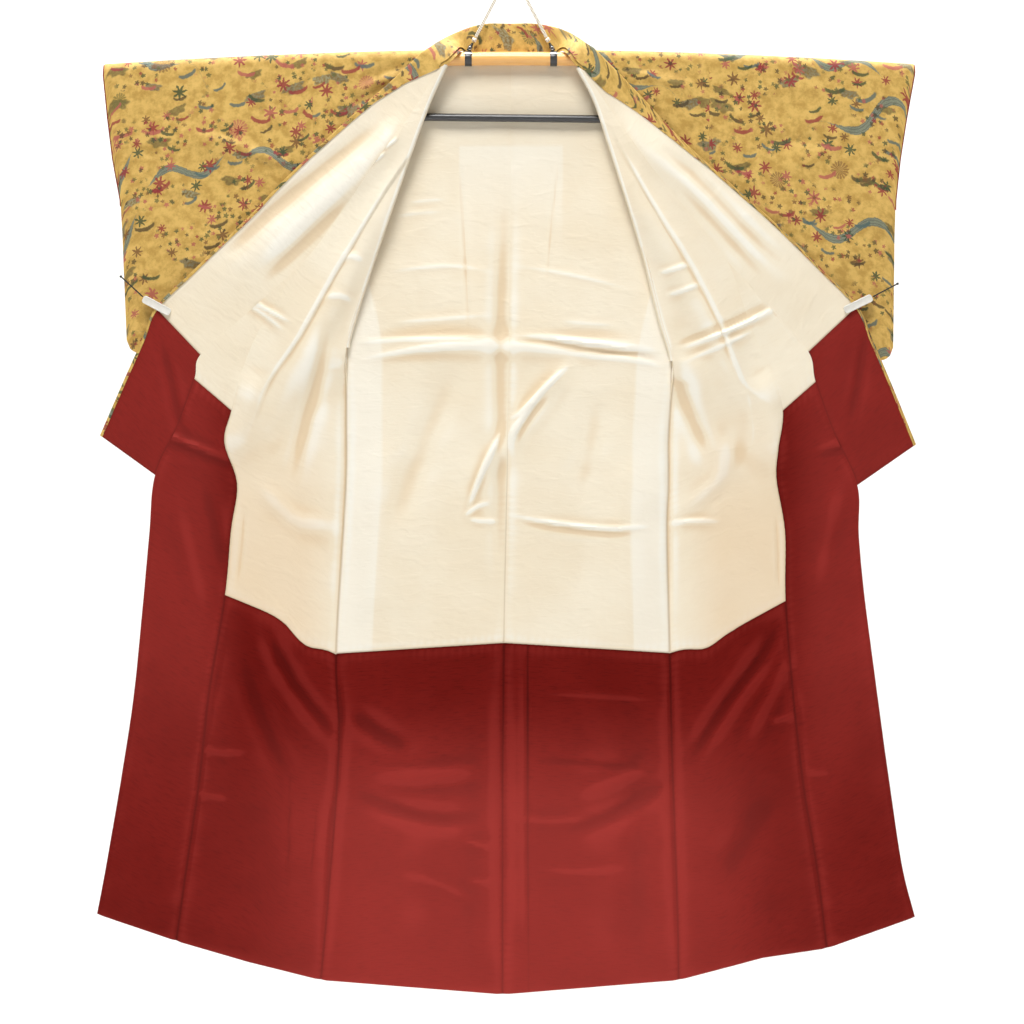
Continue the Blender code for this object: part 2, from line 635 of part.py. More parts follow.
def sleeve_point(side, share, across, facing):
    """A point of a sleeve: a share of the way down one wall, and across from armhole to cuff."""
    low = CUFF_EDGE[side][-1]
    x = ARMHOLE_X + (low.x * MM - ARMHOLE_X) * across
    into_corner = max(0.0, x - (low.x * MM - SLEEVE_CORNER))
    corner = SLEEVE_CORNER - math.sqrt(max(SLEEVE_CORNER ** 2 - into_corner ** 2, 0.0))
    top = pole_z(x)
    bottom = low.z * MM + corner
    z = top + (bottom - top) * share
    x = ARMHOLE_X + SEAM_GAP / 2 + (cuff_x(side, z) - ARMHOLE_X) * across
    fallen = min(max((pole_z(x) - z) / (pole_z(x) - bottom), 0.0), 1.0)
    cuff_seam = smoothstep((across - CUFF_SEAM_START) / (1 - CUFF_SEAM_START))
    cuff_seam *= smoothstep((fallen - CUFF_OPENING) / CUFF_CLOSING)
    bottom_seam = smoothstep((fallen - BOTTOM_CLOSING_START) / (1 - BOTTOM_CLOSING_START))
    closing = 1 - (1 - cuff_seam) * (1 - bottom_seam)
    half_gap = DRAPE_RADIUS * (1 - fallen) + BODY_HALF_GAP * fallen
    half_gap += (SLEEVE_HALF_GAP - half_gap) * closing
    lift = 0.0
    if facing < 0:
        lift = fold_height(side * x, z, SLEEVE_FOLDS) * smoothstep(across / ARMHOLE_FADE) * (1 - fallen)
    return np.array((side * x, MEET_DEPTH * fallen + facing * half_gap - lift, z))


def sleeve_grid(side, columns):
    """Rows from the back's lower edge over the pole to the front's lower edge."""
    path = [(share, 1) for share in SLEEVE_ROWS[::-1]]
    path += [("turn", step) for step in range(1, SLEEVE_TURN_ROWS)]
    path += [(share, -1) for share in SLEEVE_ROWS]
    points = []
    for share, facing in path:
        line = []
        for across in columns:
            if share == "turn":
                start = sleeve_point(side, 0.0, across, 1)
                angle = math.pi * facing / SLEEVE_TURN_ROWS
                radius = start[1]
                shift = np.array((0.0, math.cos(angle) - 1, math.sin(angle)))
                line.append(start + radius * shift)
            else:
                line.append(sleeve_point(side, share, across, facing))
        points.append(line)
    points = np.array(points)
    down = np.gradient(points, axis=0)
    outward = np.gradient(points, axis=1)
    inner = np.cross(outward, down) * side
    inner /= np.linalg.norm(inner, axis=2)[:, :, None]
    return [[(point, normal) for point, normal in zip(*pair)] for pair in zip(points, inner)]


def make_sleeve(side):
    """One sleeve, folded over the pole, and the red lining inside its open cuff."""
    grid = sleeve_grid(side, SLEEVE_COLUMNS)
    wall(f"sleeve_{SIDES[side]}", grid, -SILK_FACE, SILK_FACE, "gold silk")
    first_column = SLEEVE_COLUMNS.index(CUFF_LINING_FRACTION)
    open_rows = sum(share <= CUFF_OPENING for share in SLEEVE_ROWS)
    first_row = len(SLEEVE_ROWS) - open_rows
    lining = []
    for row in grid[first_row:len(grid) - first_row]:
        row = list(row[first_column:])
        point, normal = row[-1]
        row[-1] = (point + unit(point - row[-2][0]) * CUFF_LINING_REACH, normal)
        lining.append(row)
    wall(f"sleeve_cuff_lining_{SIDES[side]}", lining, LINING_NEAR, LINING_FAR, "red silk")


def round_solid(name, rings, sides, look):
    """A solid through round rings, each a centre and its two radius vectors, with flat ends."""
    points = []
    for centre, across, other in rings:
        for step in range(sides):
            angle = 2 * math.pi * step / sides
            points.append(centre + across * math.cos(angle) + other * math.sin(angle))
    faces = []
    for ring in range(len(rings) - 1):
        for step in range(sides):
            a = ring * sides + step
            b = ring * sides + (step + 1) % sides
            faces.append((a, b, b + sides, a + sides))
    last = (len(rings) - 1) * sides
    faces.append(tuple(range(sides))[::-1])
    faces.append(tuple(range(last, last + sides)))
    return add_mesh(name, points, faces, look)


def tube(name, centres, radii, sides, look):
    """A round solid along centres that run across the part, with flat ends."""
    rings = [(np.array(centre), np.array((0.0, radius, 0.0)), np.array((0.0, 0.0, radius)))
             for centre, radius in zip(centres, radii)]
    return round_solid(name, rings, sides, look)


def lathe(name, start, end, profile, sides, look):
    """A turned solid from start towards end; the profile gives distance along it and radius."""
    start = np.array(start, float)
    axis = unit(np.array(end, float) - start)
    across = unit(np.cross(axis, (0.0, 1.0, 0.0)))
    other = np.cross(axis, across)
    rings = [(start + axis * along, radius * across, radius * other) for along, radius in profile]
    return round_solid(name, rings, sides, look)


def hoop(name, centre, profile, sides, axis, look):
    """A closed ring: the profile of (radius, along) turned about an axis, X or Y."""
    points = []
    for step in range(sides):
        angle = 2 * math.pi * step / sides
        for radius, along in profile:
            around = (radius * math.cos(angle), radius * math.sin(angle))
            place = (along, around[0], around[1]) if axis == "X" else (around[1], along, around[0])
            points.append(np.array(centre) + np.array(place))
    count = len(profile)
    faces = []
    for step in range(sides):
        for corner in range(count):
            a = step * count + corner
            b = step * count + (corner + 1) % count
            c = (step + 1) % sides * count + (corner + 1) % count
            d = (step + 1) % sides * count + corner
            faces.append((a, b, c, d))
    return add_mesh(name, points, faces, look)


def cord(name, start, end, diameter, look):
    """A taut cord as a round curve with filled ends."""
    curve = bpy.data.curves.new(name, "CURVE")
    curve.dimensions = "3D"
    curve.bevel_depth = diameter / 2
    curve.bevel_resolution = 2
    curve.use_fill_caps = True
    length = np.linalg.norm(np.array(end) - np.array(start))
    pieces = max(2, round(length / (CORD_DIAMETERS_A_PIECE * diameter)))
    spline = curve.splines.new("POLY")
    spline.points.add(pieces)
    for point, place in zip(spline.points, spread(np.array(start, float), np.array(end, float), pieces)):
        point.co = (*place, 1.0)
    curve.materials.append(material(look))
    made = bpy.data.objects.new(name, curve)
    bpy.context.scene.collection.objects.link(made)
    return made


def make_hanger():
    """The pole, the rod below it, and the straps and cords that meet in the ring."""
    ends = [(POLE_HALF_LENGTH - end.distance * MM, POLE_RADIUS * end.share) for end in POLE_ENDS]
    inner = ends[-1][0]
    middle = [(x, POLE_RADIUS) for x in spread(-inner, inner, POLE_PIECES)[1:-1]]
    stations = [(-x, radius) for x, radius in ends] + middle + ends[::-1]
    centres = [(x, 0.0, pole_z(x)) for x, radius in stations]
    tube("hanger_pole", centres, [radius for x, radius in stations], POLE_SIDES, "orange wood")
    reach = LOWER_ROD_HALF_LENGTH
    rod = [(side * reach, LOWER_ROD_Y, LOWER_ROD_Z - side * LOWER_ROD_SLOPE) for side in SIDES]
    tube("lower_rod", rod, [LOWER_ROD_RADIUS] * 2, LOWER_ROD_SIDES, "black metal")
    turns = [2 * math.pi * step / RING_WIRE_SIDES for step in range(RING_WIRE_SIDES)]
    wire = [(RING_RADIUS + RING_WIRE * math.cos(turn), RING_WIRE * math.sin(turn)) for turn in turns]
    hoop("hanger_ring", (0.0, 0.0, RING_Z), wire, RING_SIDES, "Y", "steel")
    for side, word in SIDES.items():
        make_strap_and_cord(side, word)
        link_x = side * LINK_X
        link_top = pole_z(link_x) - POLE_RADIUS - SEAM_GAP
        link_bottom = LOWER_ROD_Z - side * LOWER_ROD_SLOPE * LINK_X / reach + LOWER_ROD_RADIUS + SEAM_GAP
        profile = [(0.0, LINK_RADIUS), (link_top - link_bottom, LINK_RADIUS)]
        lathe(f"hanger_link_{word}", (link_x, LOWER_ROD_Y, link_bottom), (link_x, LOWER_ROD_Y, link_top),
              profile, LINK_SIDES, "black metal")


def make_strap_and_cord(side, word):
    """One strap round the pole, its swivel snap, its bead and its cord up to the ring."""
    x = side * STRAP_X
    near = POLE_RADIUS + SEAM_GAP
    far = near + STRAP_WALL
    half = STRAP_WIDTH / 2
    profile = [(near, -half), (near, half), (far, half), (far, -half)]
    hoop(f"hanger_strap_{word}", (x, 0.0, pole_z(x)), profile, STRAP_SIDES, "X", "black metal")
    start = np.array((x, 0.0, pole_z(x) + far))
    ring = np.array((0.0, 0.0, RING_Z))
    toward = unit(start - ring)
    contact = ring + toward * (RING_RADIUS + RING_WIRE + SEAM_GAP)
    up = unit(contact - start)
    snap_start = start + up * SNAP_START
    profile = [(0.0, SNAP_RADIUS), (SNAP_BODY_END * SNAP_LENGTH, SNAP_RADIUS),
               (SNAP_NECK_START * SNAP_LENGTH, SNAP_NECK_RADIUS), (SNAP_LENGTH, SNAP_NECK_RADIUS)]
    lathe(f"hanger_snap_{word}", snap_start, contact, profile, SMALL_SIDES, "steel")
    bead_start = snap_start + up * (SNAP_LENGTH + SEAM_GAP)
    turns = [math.pi * step / BEAD_RINGS for step in range(1, BEAD_RINGS)]
    offset = BEAD_RADIUS * math.cos(turns[0])
    profile = [(offset - BEAD_RADIUS * math.cos(turn), BEAD_RADIUS * math.sin(turn)) for turn in turns]
    lathe(f"hanger_bead_{word}", bead_start, contact, profile, SMALL_SIDES, "white cord")
    cord_start = bead_start + up * (2 * offset + SEAM_GAP)
    cord(f"hanger_cord_{word}", cord_start, contact, HANGER_CORD, "white cord")


def make_clip(side, word):
    """A white clip on the opened edge, and the short black cord from its outer end."""
    place = CLIPS[side]
    inward = unit(np.array((place.inward_x, 0.0, place.inward_z), float))
    width_way = np.cross(inward, (0.0, 1.0, 0.0))
    edge_x = place.x * MM
    edge_z = place.z * MM
    surface, normal = on_surface(edge_x, edge_z, front_depth)
    centre = surface + normal * COLLAR_TURN_RADIUS
    outline = []
    radius = CLIP_WIDTH / 2
    for end, reach in ((1, CLIP_GRIP - radius), (-1, CLIP_LENGTH - CLIP_GRIP - radius)):
        for step in range(CLIP_END_STEPS + 1):
            angle = -math.pi / 2 + math.pi * step / CLIP_END_STEPS
            outline.append((end * (reach + radius * math.cos(angle)), end * radius * math.sin(angle)))
    points = []
    for lift in (-CLIP_THICKNESS / 2, CLIP_THICKNESS / 2):
        points += [centre + inward * a + width_way * b + np.array((0.0, lift, 0.0)) for a, b in outline]
    count = len(outline)
    faces = [tuple(range(count)), tuple(range(2 * count - 1, count - 1, -1))]
    faces += [(step, step + count, (step + 1) % count + count, (step + 1) % count) for step in range(count)]
    clip = add_mesh(f"clip_{word}", points, faces, "white plastic")
    bevel = clip.modifiers.new("round edges", "BEVEL")
    bevel.width = CLIP_ROUNDING
    bevel.segments = 1
    bevel.limit_method = "ANGLE"
    slot_points = []
    for lift in (-CLIP_SLOT / 2, CLIP_SLOT / 2):
        for a, b in ((-CLIP_SLOT_BACK, -CLIP_WIDTH), (2 * CLIP_GRIP, -CLIP_WIDTH),
                     (2 * CLIP_GRIP, CLIP_WIDTH), (-CLIP_SLOT_BACK, CLIP_WIDTH)):
            slot_points.append(centre + inward * a + width_way * b + np.array((0.0, lift, 0.0)))
    slot_faces = [(0, 1, 2, 3), (7, 6, 5, 4), (0, 4, 5, 1), (1, 5, 6, 2), (2, 6, 7, 3), (3, 7, 4, 0)]
    cutter = add_mesh(f"clip_slot_{word}", slot_points, slot_faces, "white plastic", smooth=False)
    cutter.hide_render = True
    cutter.display_type = "WIRE"
    cut = clip.modifiers.new("slot for the cloth", "BOOLEAN")
    cut.operation = "DIFFERENCE"
    cut.solver = "EXACT"
    cut.object = cutter
    outer_end = centre - inward * (CLIP_LENGTH - CLIP_GRIP + SEAM_GAP)
    far = np.array((place.cord_x * MM, outer_end[1], place.cord_z * MM))
    start = outer_end + unit(far - outer_end) * SEAM_GAP
    cord(f"clip_cord_{word}", start, far, CLIP_CORD, "black cord")


front_lines = {side: section_lines(side) for side in SIDES}
for side, word in SIDES.items():
    make_front(side, front_lines[side])
    make_okumi(side, front_lines[side])
    make_collar_linings(side, front_lines[side])
    make_shoulder(side, front_lines[side])
    make_back(side, front_lines[side])
    make_sleeve(side)
    make_clip(side, word)
make_collar(front_lines)
make_hanger()
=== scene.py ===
# %% [markdown]
# A lined silk kimono hangs on a pole hanger. Both fronts are turned back like lapels and pulled out
# by clips, so the cream body lining and the dark red hem lining face the viewer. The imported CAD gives
# every place and size; this script makes what the eye sees on them: cloth that is thin, creased and
# printed, and a hanger with its small fittings.

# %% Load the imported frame
import math
from collections import namedtuple

import bmesh
import bpy
import numpy as np
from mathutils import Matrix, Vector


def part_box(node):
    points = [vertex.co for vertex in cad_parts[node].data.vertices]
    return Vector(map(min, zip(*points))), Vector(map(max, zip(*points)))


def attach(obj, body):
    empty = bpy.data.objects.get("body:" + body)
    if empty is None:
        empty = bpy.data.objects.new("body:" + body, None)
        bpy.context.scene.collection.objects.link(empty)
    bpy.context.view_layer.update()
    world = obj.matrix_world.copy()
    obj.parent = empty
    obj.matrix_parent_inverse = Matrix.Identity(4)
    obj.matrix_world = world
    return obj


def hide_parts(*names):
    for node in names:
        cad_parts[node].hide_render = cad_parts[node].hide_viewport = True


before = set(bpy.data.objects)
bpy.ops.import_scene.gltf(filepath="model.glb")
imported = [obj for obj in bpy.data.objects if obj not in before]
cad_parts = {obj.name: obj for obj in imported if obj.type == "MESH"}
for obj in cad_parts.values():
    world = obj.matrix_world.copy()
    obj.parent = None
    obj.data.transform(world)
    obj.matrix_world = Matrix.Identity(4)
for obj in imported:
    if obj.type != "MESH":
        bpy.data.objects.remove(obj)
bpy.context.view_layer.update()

# %% [markdown]
# The camera is made first. The photograph was taken straight on, level with the middle of the
# kimono, so a long lens from six metres gives nearly the same picture.

# %% Camera
MM = 0.001
LEFT = -1
RIGHT = 1
SIDES = {LEFT: "left", RIGHT: "right"}
PICTURE_WIDTH = 1.7067
CAMERA_DISTANCE = 6.0
CAMERA_PLACE = (1.67 * MM, -CAMERA_DISTANCE, -916.7 * MM)
SENSOR_MM = 36
lens = bpy.data.cameras.new("camera")
lens.sensor_width = SENSOR_MM
lens.lens = SENSOR_MM * CAMERA_DISTANCE / PICTURE_WIDTH
camera = bpy.data.objects.new("camera", lens)
camera.location = CAMERA_PLACE
camera.rotation_euler = (math.pi / 2, 0.0, 0.0)
bpy.context.scene.collection.objects.link(camera)
bpy.context.scene.camera = camera
print("lens:", round(lens.lens, 1), "mm")

# %% [markdown]
# The cords come next, with the knots they end in. Two white strands rise from each strap to the
# hanger's ring, and a black cord pulls each clip outward. All are taut, so their routes are straight.
# The photograph fades them out, and here they end in a ring and in small knots. A few helpers make
# modelling in edit mode readable: open a piece, pick its faces or edges by a test, then operate.

# %% Modelling helpers
SMOOTH_ANGLE = math.radians(40)
FACING = 0.9


def select_only(piece):
    """Make one piece the only selected and active one."""
    bpy.ops.object.select_all(action="DESELECT")
    piece.select_set(True)
    bpy.context.view_layer.objects.active = piece


def start_piece(primitive, **where):
    """Add a primitive with nothing else selected, and put its place in its mesh."""
    bpy.ops.object.select_all(action="DESELECT")
    primitive(**where)
    bpy.ops.object.transform_apply()
    return bpy.context.object


def pick(piece, kind, test):
    """In edit mode, select just the faces or edges that pass a test."""
    if piece.mode != "EDIT":
        select_only(piece)
        bpy.ops.object.mode_set(mode="EDIT")
    bpy.ops.mesh.select_mode(type="FACE" if kind == "faces" else "EDGE")
    bpy.ops.mesh.select_all(action="DESELECT")
    mesh = bmesh.from_edit_mesh(piece.data)
    for item in list(getattr(mesh, kind)):
        if test(item):
            item.select_set(True)
    bmesh.update_edit_mesh(piece.data)


def close_piece(piece):
    """Back to object mode, with smooth shading up to an angle."""
    bpy.ops.object.mode_set(mode="OBJECT")
    select_only(piece)
    bpy.ops.object.shade_smooth_by_angle(angle=SMOOTH_ANGLE)


def modify(piece, kind, **settings):
    """Give a piece a modifier with these settings and apply it."""
    made = piece.modifiers.new(kind, kind)
    for key, value in settings.items():
        setattr(made, key, value)
    bpy.ops.object.modifier_apply(modifier=made.name)


def turned_copy(piece, turn_y, place, turn_z=0.0):
    """A copy with its own mesh, turned and moved, its place put in the mesh."""
    made = piece.copy()
    made.data = piece.data.copy()
    bpy.context.scene.collection.objects.link(made)
    made.rotation_euler = (0.0, turn_y, turn_z)
    made.location = place
    select_only(made)
    bpy.ops.object.transform_apply()
    return made


def joined(name, *pieces):
    """Several modelled pieces as one."""
    select_only(pieces[0])
    for piece in pieces:
        piece.select_set(True)
    bpy.ops.object.join()
    pieces[0].name = name
    return pieces[0]


def fit_out(piece, name, slot, nodes=()):
    """Name a piece, let it ride on the kimono's body and say what it replaces and its slot."""
    piece.name = name
    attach(piece, "root")
    if nodes:
        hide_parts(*nodes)
    waiting.append((piece, slot))


waiting = []
print("helpers ready")

# %% Knots
POLE_RADIUS = 11.5 * MM
POLE_Z = -161 * MM
POLE_BOW = 0.060
STRAP_X = 71 * MM
STRAP_TOP = POLE_RADIUS + 1.1 * MM
RING_REACH = 16.3 * MM
RING_Z = -12 * MM
SNAP_REACH = 16.3 * MM
KNOT_REACH = 10.2 * MM
KNOT_CORE = 0.60
KNOT_TIP = 0.8
KNOT_LOOP = 0.58
KNOT_STRAND = 0.36
KNOT_LEAN = 0.35
KNOT_TILTS = (0.5, -0.9)
WHITE_KNOT = 5.0 * MM
BLACK_KNOT = 2.6 * MM


def pole_z(x):
    """The bowed pole's axis."""
    return POLE_Z - POLE_BOW * x ** 2


def model_knot(size):
    """An overhand knot: two fat loops crossed over a round core."""
    core = start_piece(bpy.ops.mesh.primitive_uv_sphere_add, segments=16, ring_count=10,
                       radius=KNOT_CORE * size)
    pick(core, "faces", lambda face: abs(face.normal.z) > KNOT_TIP)
    bpy.ops.transform.resize(value=(0.8, 0.8, 1.25))
    close_piece(core)
    loops = []
    for tilt in KNOT_TILTS:
        loop = start_piece(bpy.ops.mesh.primitive_torus_add, major_radius=KNOT_LOOP * size,
                           minor_radius=KNOT_STRAND * size, major_segments=20, minor_segments=9,
                           rotation=(KNOT_LEAN, tilt, 0.0))
        close_piece(loop)
        loops.append(loop)
    return joined("knot", core, *loops)


white_knot = model_knot(WHITE_KNOT)
black_knot = model_knot(BLACK_KNOT)
print("knots modelled")

# %% Cords
HANGER_STRAND = 2.6 * MM
STRAND_APART = 1.35 * MM
CLIP_CORD = 2.4 * MM
CORD_STEPS = 16
CLIP_CORD_STARTS = {LEFT: (-612.5, -558.6), RIGHT: (602.1, -558.5)}
CLIP_CORD_ENDS = {LEFT: (-649, -525), RIGHT: (643, -537)}


def taut_cord(name, start, end, diameter, slot, nodes):
    """A straight round cord: a curve made a mesh tube."""
    curve = bpy.data.curves.new(name, "CURVE")
    curve.dimensions = "3D"
    curve.bevel_depth = diameter / 2
    curve.bevel_resolution = 3
    curve.use_fill_caps = True
    spline = curve.splines.new("POLY")
    spline.points.add(CORD_STEPS - 1)
    route = [tuple(start * (1 - share) + end * share) for share in np.linspace(0, 1, CORD_STEPS)]
    for point, place in zip(spline.points, route):
        point.co = (*place, 1.0)
    made = bpy.data.objects.new(name, curve)
    bpy.context.scene.collection.objects.link(made)
    select_only(made)
    bpy.ops.object.convert(target="MESH")
    made = bpy.context.object
    bpy.ops.object.shade_smooth_by_angle(angle=SMOOTH_ANGLE)
    fit_out(made, name, slot, nodes)


ring = np.array((0.0, 0.0, RING_Z))
snap_places = {}
for side, word in SIDES.items():
    strap_top = np.array((side * STRAP_X, 0.0, pole_z(STRAP_X) + STRAP_TOP))
    contact = ring + (strap_top - ring) / np.linalg.norm(strap_top - ring) * RING_REACH
    up = (contact - strap_top) / np.linalg.norm(contact - strap_top)
    lean = math.atan2(up[0], up[2])
    snap_places[side] = (strap_top, up, lean)
    knot = turned_copy(white_knot, lean, strap_top + up * (SNAP_REACH + KNOT_REACH / 2))
    fit_out(knot, f"hanger_knot_{word}", "white_cord", [f"hanger_bead_{word}"])
    start = strap_top + up * (SNAP_REACH + KNOT_REACH)
    across = np.array((up[2], 0.0, -up[0])) * STRAND_APART
    for name, offset, nodes in (("front", across, [f"hanger_cord_{word}"]), ("rear", -across, [])):
        taut_cord(f"hanger_strand_{name}_{word}", start + offset, contact + offset, HANGER_STRAND,
                  "white_cord", nodes)
    low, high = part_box(f"clip_cord_{word}")
    depth = (low[1] + high[1]) / 2
    start, end = (np.array((x * MM, depth, z * MM))
                  for x, z in (CLIP_CORD_STARTS[side], CLIP_CORD_ENDS[side]))
    knot = turned_copy(black_knot, 0.0, end)
    fit_out(knot, f"clip_cord_knot_{word}", "black_cord")
    taut_cord(f"clip_cord_taut_{word}", start, end, CLIP_CORD, "black_cord", [f"clip_cord_{word}"])
for piece in (white_knot, black_knot):
    bpy.data.objects.remove(piece)

# %% [markdown]
# A kimono has few cuts, and all are long rectangles. On the hanger their places are simple: lines
# that run down an opened front, and what lies between them. The tables below are the lines of the
# CAD source, in millimetres. A smooth curve through them gives as many points as the cloth needs.

# %% The lines of the opened fronts
# Each row: roll line and side seam, long pleat, okumi seam, collar seam and okumi's edge, free edge
FRONT_ROWS = {
    LEFT: [
        (-107, -175, -115, -177, -119, -179, -119, -179, -145, -153),
        (-133, -232, -148, -242, -163, -250, -163, -250, -203, -207),
        (-160, -303, -178, -325, -227, -338, -227, -338, -282, -277),
        (-198, -412, -238, -423, -302, -447, -302, -447, -380, -370),
        (-225, -490, -278, -497, -352, -507, -352, -507, -433, -425),
        (-255, -575, -337, -600, -415, -607, -452, -597, -528, -517),
        (-275, -643, -370, -660, -447, -680, -517, -655, -590, -578),
        (-275, -705, -392, -727, -465, -748, -527, -695, -613, -632),
        (-275, -772, -408, -793, -477, -800, -555, -772, -645, -703),
        (-275, -855, -375, -863, -457, -870, -593, -855, -683, -790),
        (-280, -947, -375, -950, -467, -948, -603, -950),
        (-292, -1153, -375, -1097, -477, -1055, -613, -1063),
        (-287, -1280, -392, -1243, -503, -1213, -628, -1217),
        (-292, -1397, -405, -1380, -520, -1363, -650, -1363),
        (-303, -1538, -420, -1517, -540, -1500, -675, -1507),
        (-317, -1695, -438, -1665, -558, -1630, -690, -1585),
    ],
    RIGHT: [
        (110, -180, 118, -182, 121, -184, 121, -184, 137, -148),
        (138, -233, 152, -243, 168, -252, 168, -252, 208, -220),
        (163, -307, 182, -325, 233, -343, 233, -343, 283, -300),
        (198, -417, 247, -427, 312, -438, 312, -438, 378, -385),
        (222, -497, 285, -502, 360, -500, 360, -500, 435, -435),
        (248, -593, 335, -600, 398, -605, 437, -580, 512, -510),
        (270, -665, 377, -667, 432, -683, 495, -650, 575, -575),
        (267, -727, 398, -735, 452, -748, 507, -700, 602, -635),
        (263, -797, 402, -803, 445, -812, 537, -783, 637, -717),
        (263, -872, 363, -872, 443, -863, 577, -872, 673, -805),
        (260, -955, 363, -953, 457, -950, 580, -955),
        (265, -1152, 370, -1113, 458, -1065, 590, -1063),
        (268, -1288, 375, -1250, 470, -1217, 610, -1217),
        (272, -1405, 383, -1388, 488, -1372, 630, -1363),
        (277, -1547, 398, -1527, 510, -1507, 652, -1507),
        (280, -1695, 420, -1658, 527, -1642, 673, -1590),
    ],
}
ROLL, PLEAT, OKUMI, SEAM, EDGE = range(5)
NECK, TIP, CLIP, OKUMI_RED, COLLAR_END, LINING_SEAM, HEM = 0, 4, 6, 7, 9, 11, 15
print("rows a front:", len(FRONT_ROWS[LEFT]), "rows to the collar's end:", COLLAR_END)

# %% The lines of the back, the armhole, the collar's neck and the cuffs
# Centre seam x, z and side x, z from the pole to the armpit; then the centre seam to the hem
BACK_UPPER = [(0, -161, 330, -167.5), (0, -197, 330, -197), (0, -263, 330, -263), (0, -380, 330, -380),
              (-2, -500, 304, -510), (-3, -580, 284, -590)]
BACK_CENTRE = [(-3, -650), (-4, -712), (-5, -780), (-6, -860), (-8, -940), (-12, -1135),
               (-13, -1275), (-14, -1405), (-14, -1550), (-14, -1719)]
ARMHOLE = [(330, -215), (330, -300), (330, -390), (316, -480), (294, -577), (285, -640)]
# Seam x, y, z and folded edge x, y, z round the back of the neck
COLLAR_NECK = [
    (-103, -24, -171, -134, -17, -146), (-92, -22.5, -161, -124, -10, -138.5),
    (-86, -17.5, -154, -115, 0, -132), (-82.5, -8, -149, -107, 9, -126.5),
    (-78, 5, -149.5, -96, 15, -120), (-66, 15.6, -158.5, -69, 16.5, -108.5),
    (-40, 15.2, -159.6, -40, 15, -102.5), (0, 15, -160, 0, 15, -102.5),
    (40, 15.2, -159.6, 40, 15, -102.5), (67, 15.6, -158.5, 76, 16.5, -109),
    (80, 5, -149.5, 98, 15, -118), (86, -8, -149, 109, 9, -125.5),
    (91, -17.5, -154, 116, 0, -131.5), (97, -22.5, -161, 122, -10, -137),
    (106, -24, -174, 127, -17, -141),
]
# Distance along the lapel's edge from the neck, and how much of the collar is still doubled
COLLAR_FOLDS = {LEFT: [(0, 38), (58, 17), (116, 7), (256, 3)],
                RIGHT: [(0, 38), (64, 36), (150, 17), (203, 9), (275, 3)]}
CUFF_EDGE = {LEFT: [(-165, 674), (-190, 677), (-263, 670), (-330, 662), (-397, 650), (-530, 645),
                    (-652, 640)],
             RIGHT: [(-165, 672), (-190, 670), (-263, 657), (-330, 647), (-397, 640), (-597, 638),
                     (-664, 637)]}
print("stations down the back:", len(BACK_UPPER) + len(BACK_CENTRE))

# %% Sizes that the pieces share
DRAPE_RADIUS = 14.8 * MM
FALL = 490 * MM
MEET_DEPTH = 4.25 * MM
BODY_HALF_GAP = 2.4 * MM
SLEEVE_HALF_GAP = 0.75 * MM
ROLL_RADIUS = 4.5 * MM
ARMHOLE_X = 330 * MM
SILK_HALF = 0.45 * MM
LINING_NEAR = 0.9 * MM
LINING_WALL = 0.6 * MM
LINE_SAMPLES = 600


def smoothstep(value):
    """An S curve from 0 to 1."""
    value = np.clip(value, 0.0, 1.0)
    return value * value * (3 - 2 * value)


def curve_at(points, places):
    """Points on a smooth curve through the given ones, at places counted from the first."""
    points = np.array(points, float)
    ends = np.vstack([2 * points[0] - points[1], points, 2 * points[-1] - points[-2]])
    places = np.clip(places, 0, len(points) - 1)
    first = np.minimum(places.astype(int), len(points) - 2)
    t = (places - first)[:, None]
    before, start, end, after = (ends[first + step] for step in range(4))
    return 0.5 * (2 * start + (end - before) * t + (2 * before - 5 * start + 4 * end - after) * t ** 2
                  + (3 * start - before - 3 * end + after) * t ** 3)


def front_line(side, place, t):
    """One line down an opened front, in metres, at stations t."""
    rows = [row[2 * place:2 * place + 2] for row in FRONT_ROWS[side] if len(row) > 2 * place]
    line = curve_at(rows, t) * MM
    if place == ROLL:
        line[:, 0] += side * ROLL_RADIUS * np.clip((CLIP - t) / 2, 0, 1)
    if place == OKUMI:
        above = t < TIP
        line[above] = front_line(side, SEAM, t[above])
    return line


def stations(line, first, last, cell):
    """Stations from first to last that step by about one cell along a line."""
    t = np.linspace(first, last, LINE_SAMPLES)
    run = np.append(0.0, np.linalg.norm(np.diff(line(t), axis=0), axis=1).cumsum())
    count = math.ceil(run[-1] / cell) + 1
    return np.interp(np.linspace(0, run[-1], count), run, t)


print("left okumi seam at the hip:", front_line(LEFT, OKUMI, np.array([10.0])).round(3))

# %% [markdown]
# Hung silk has three kinds of relief. Broad folds come from how it hangs, and they are in the CAD.
# Creases come from where it is pinched, clipped and sewn: long ridges and grooves, uneven in length
# and depth, fanning out from the clips and lying across where it was folded away. Last come small
# ripples. Each crease is given as one row: half its width, its height towards the viewer,
# and the points of its path. A step is a fold's edge, steep on one side and gentle on the other.

# %% Creases, listed
STEP = "step"
Crease = namedtuple("Crease", "is_step half_width height path")
Fold = namedtuple("Fold", "x0 z0 x1 z1 half_width height")


def folds_of(*rows):
    """Folds from rows: x and z of both ends, half the width and the height."""
    return [Fold(*row) for row in rows]


def creases_of(*rows):
    """Creases from rows: half the width, the height, and x and z of each point of the path."""
    made = []
    for row in rows:
        is_step = row[0] == STEP
        half_width, height, *path = row[1:] if is_step else row
        made.append(Crease(is_step, half_width, height, list(zip(path[::2], path[1::2]))))
    return made


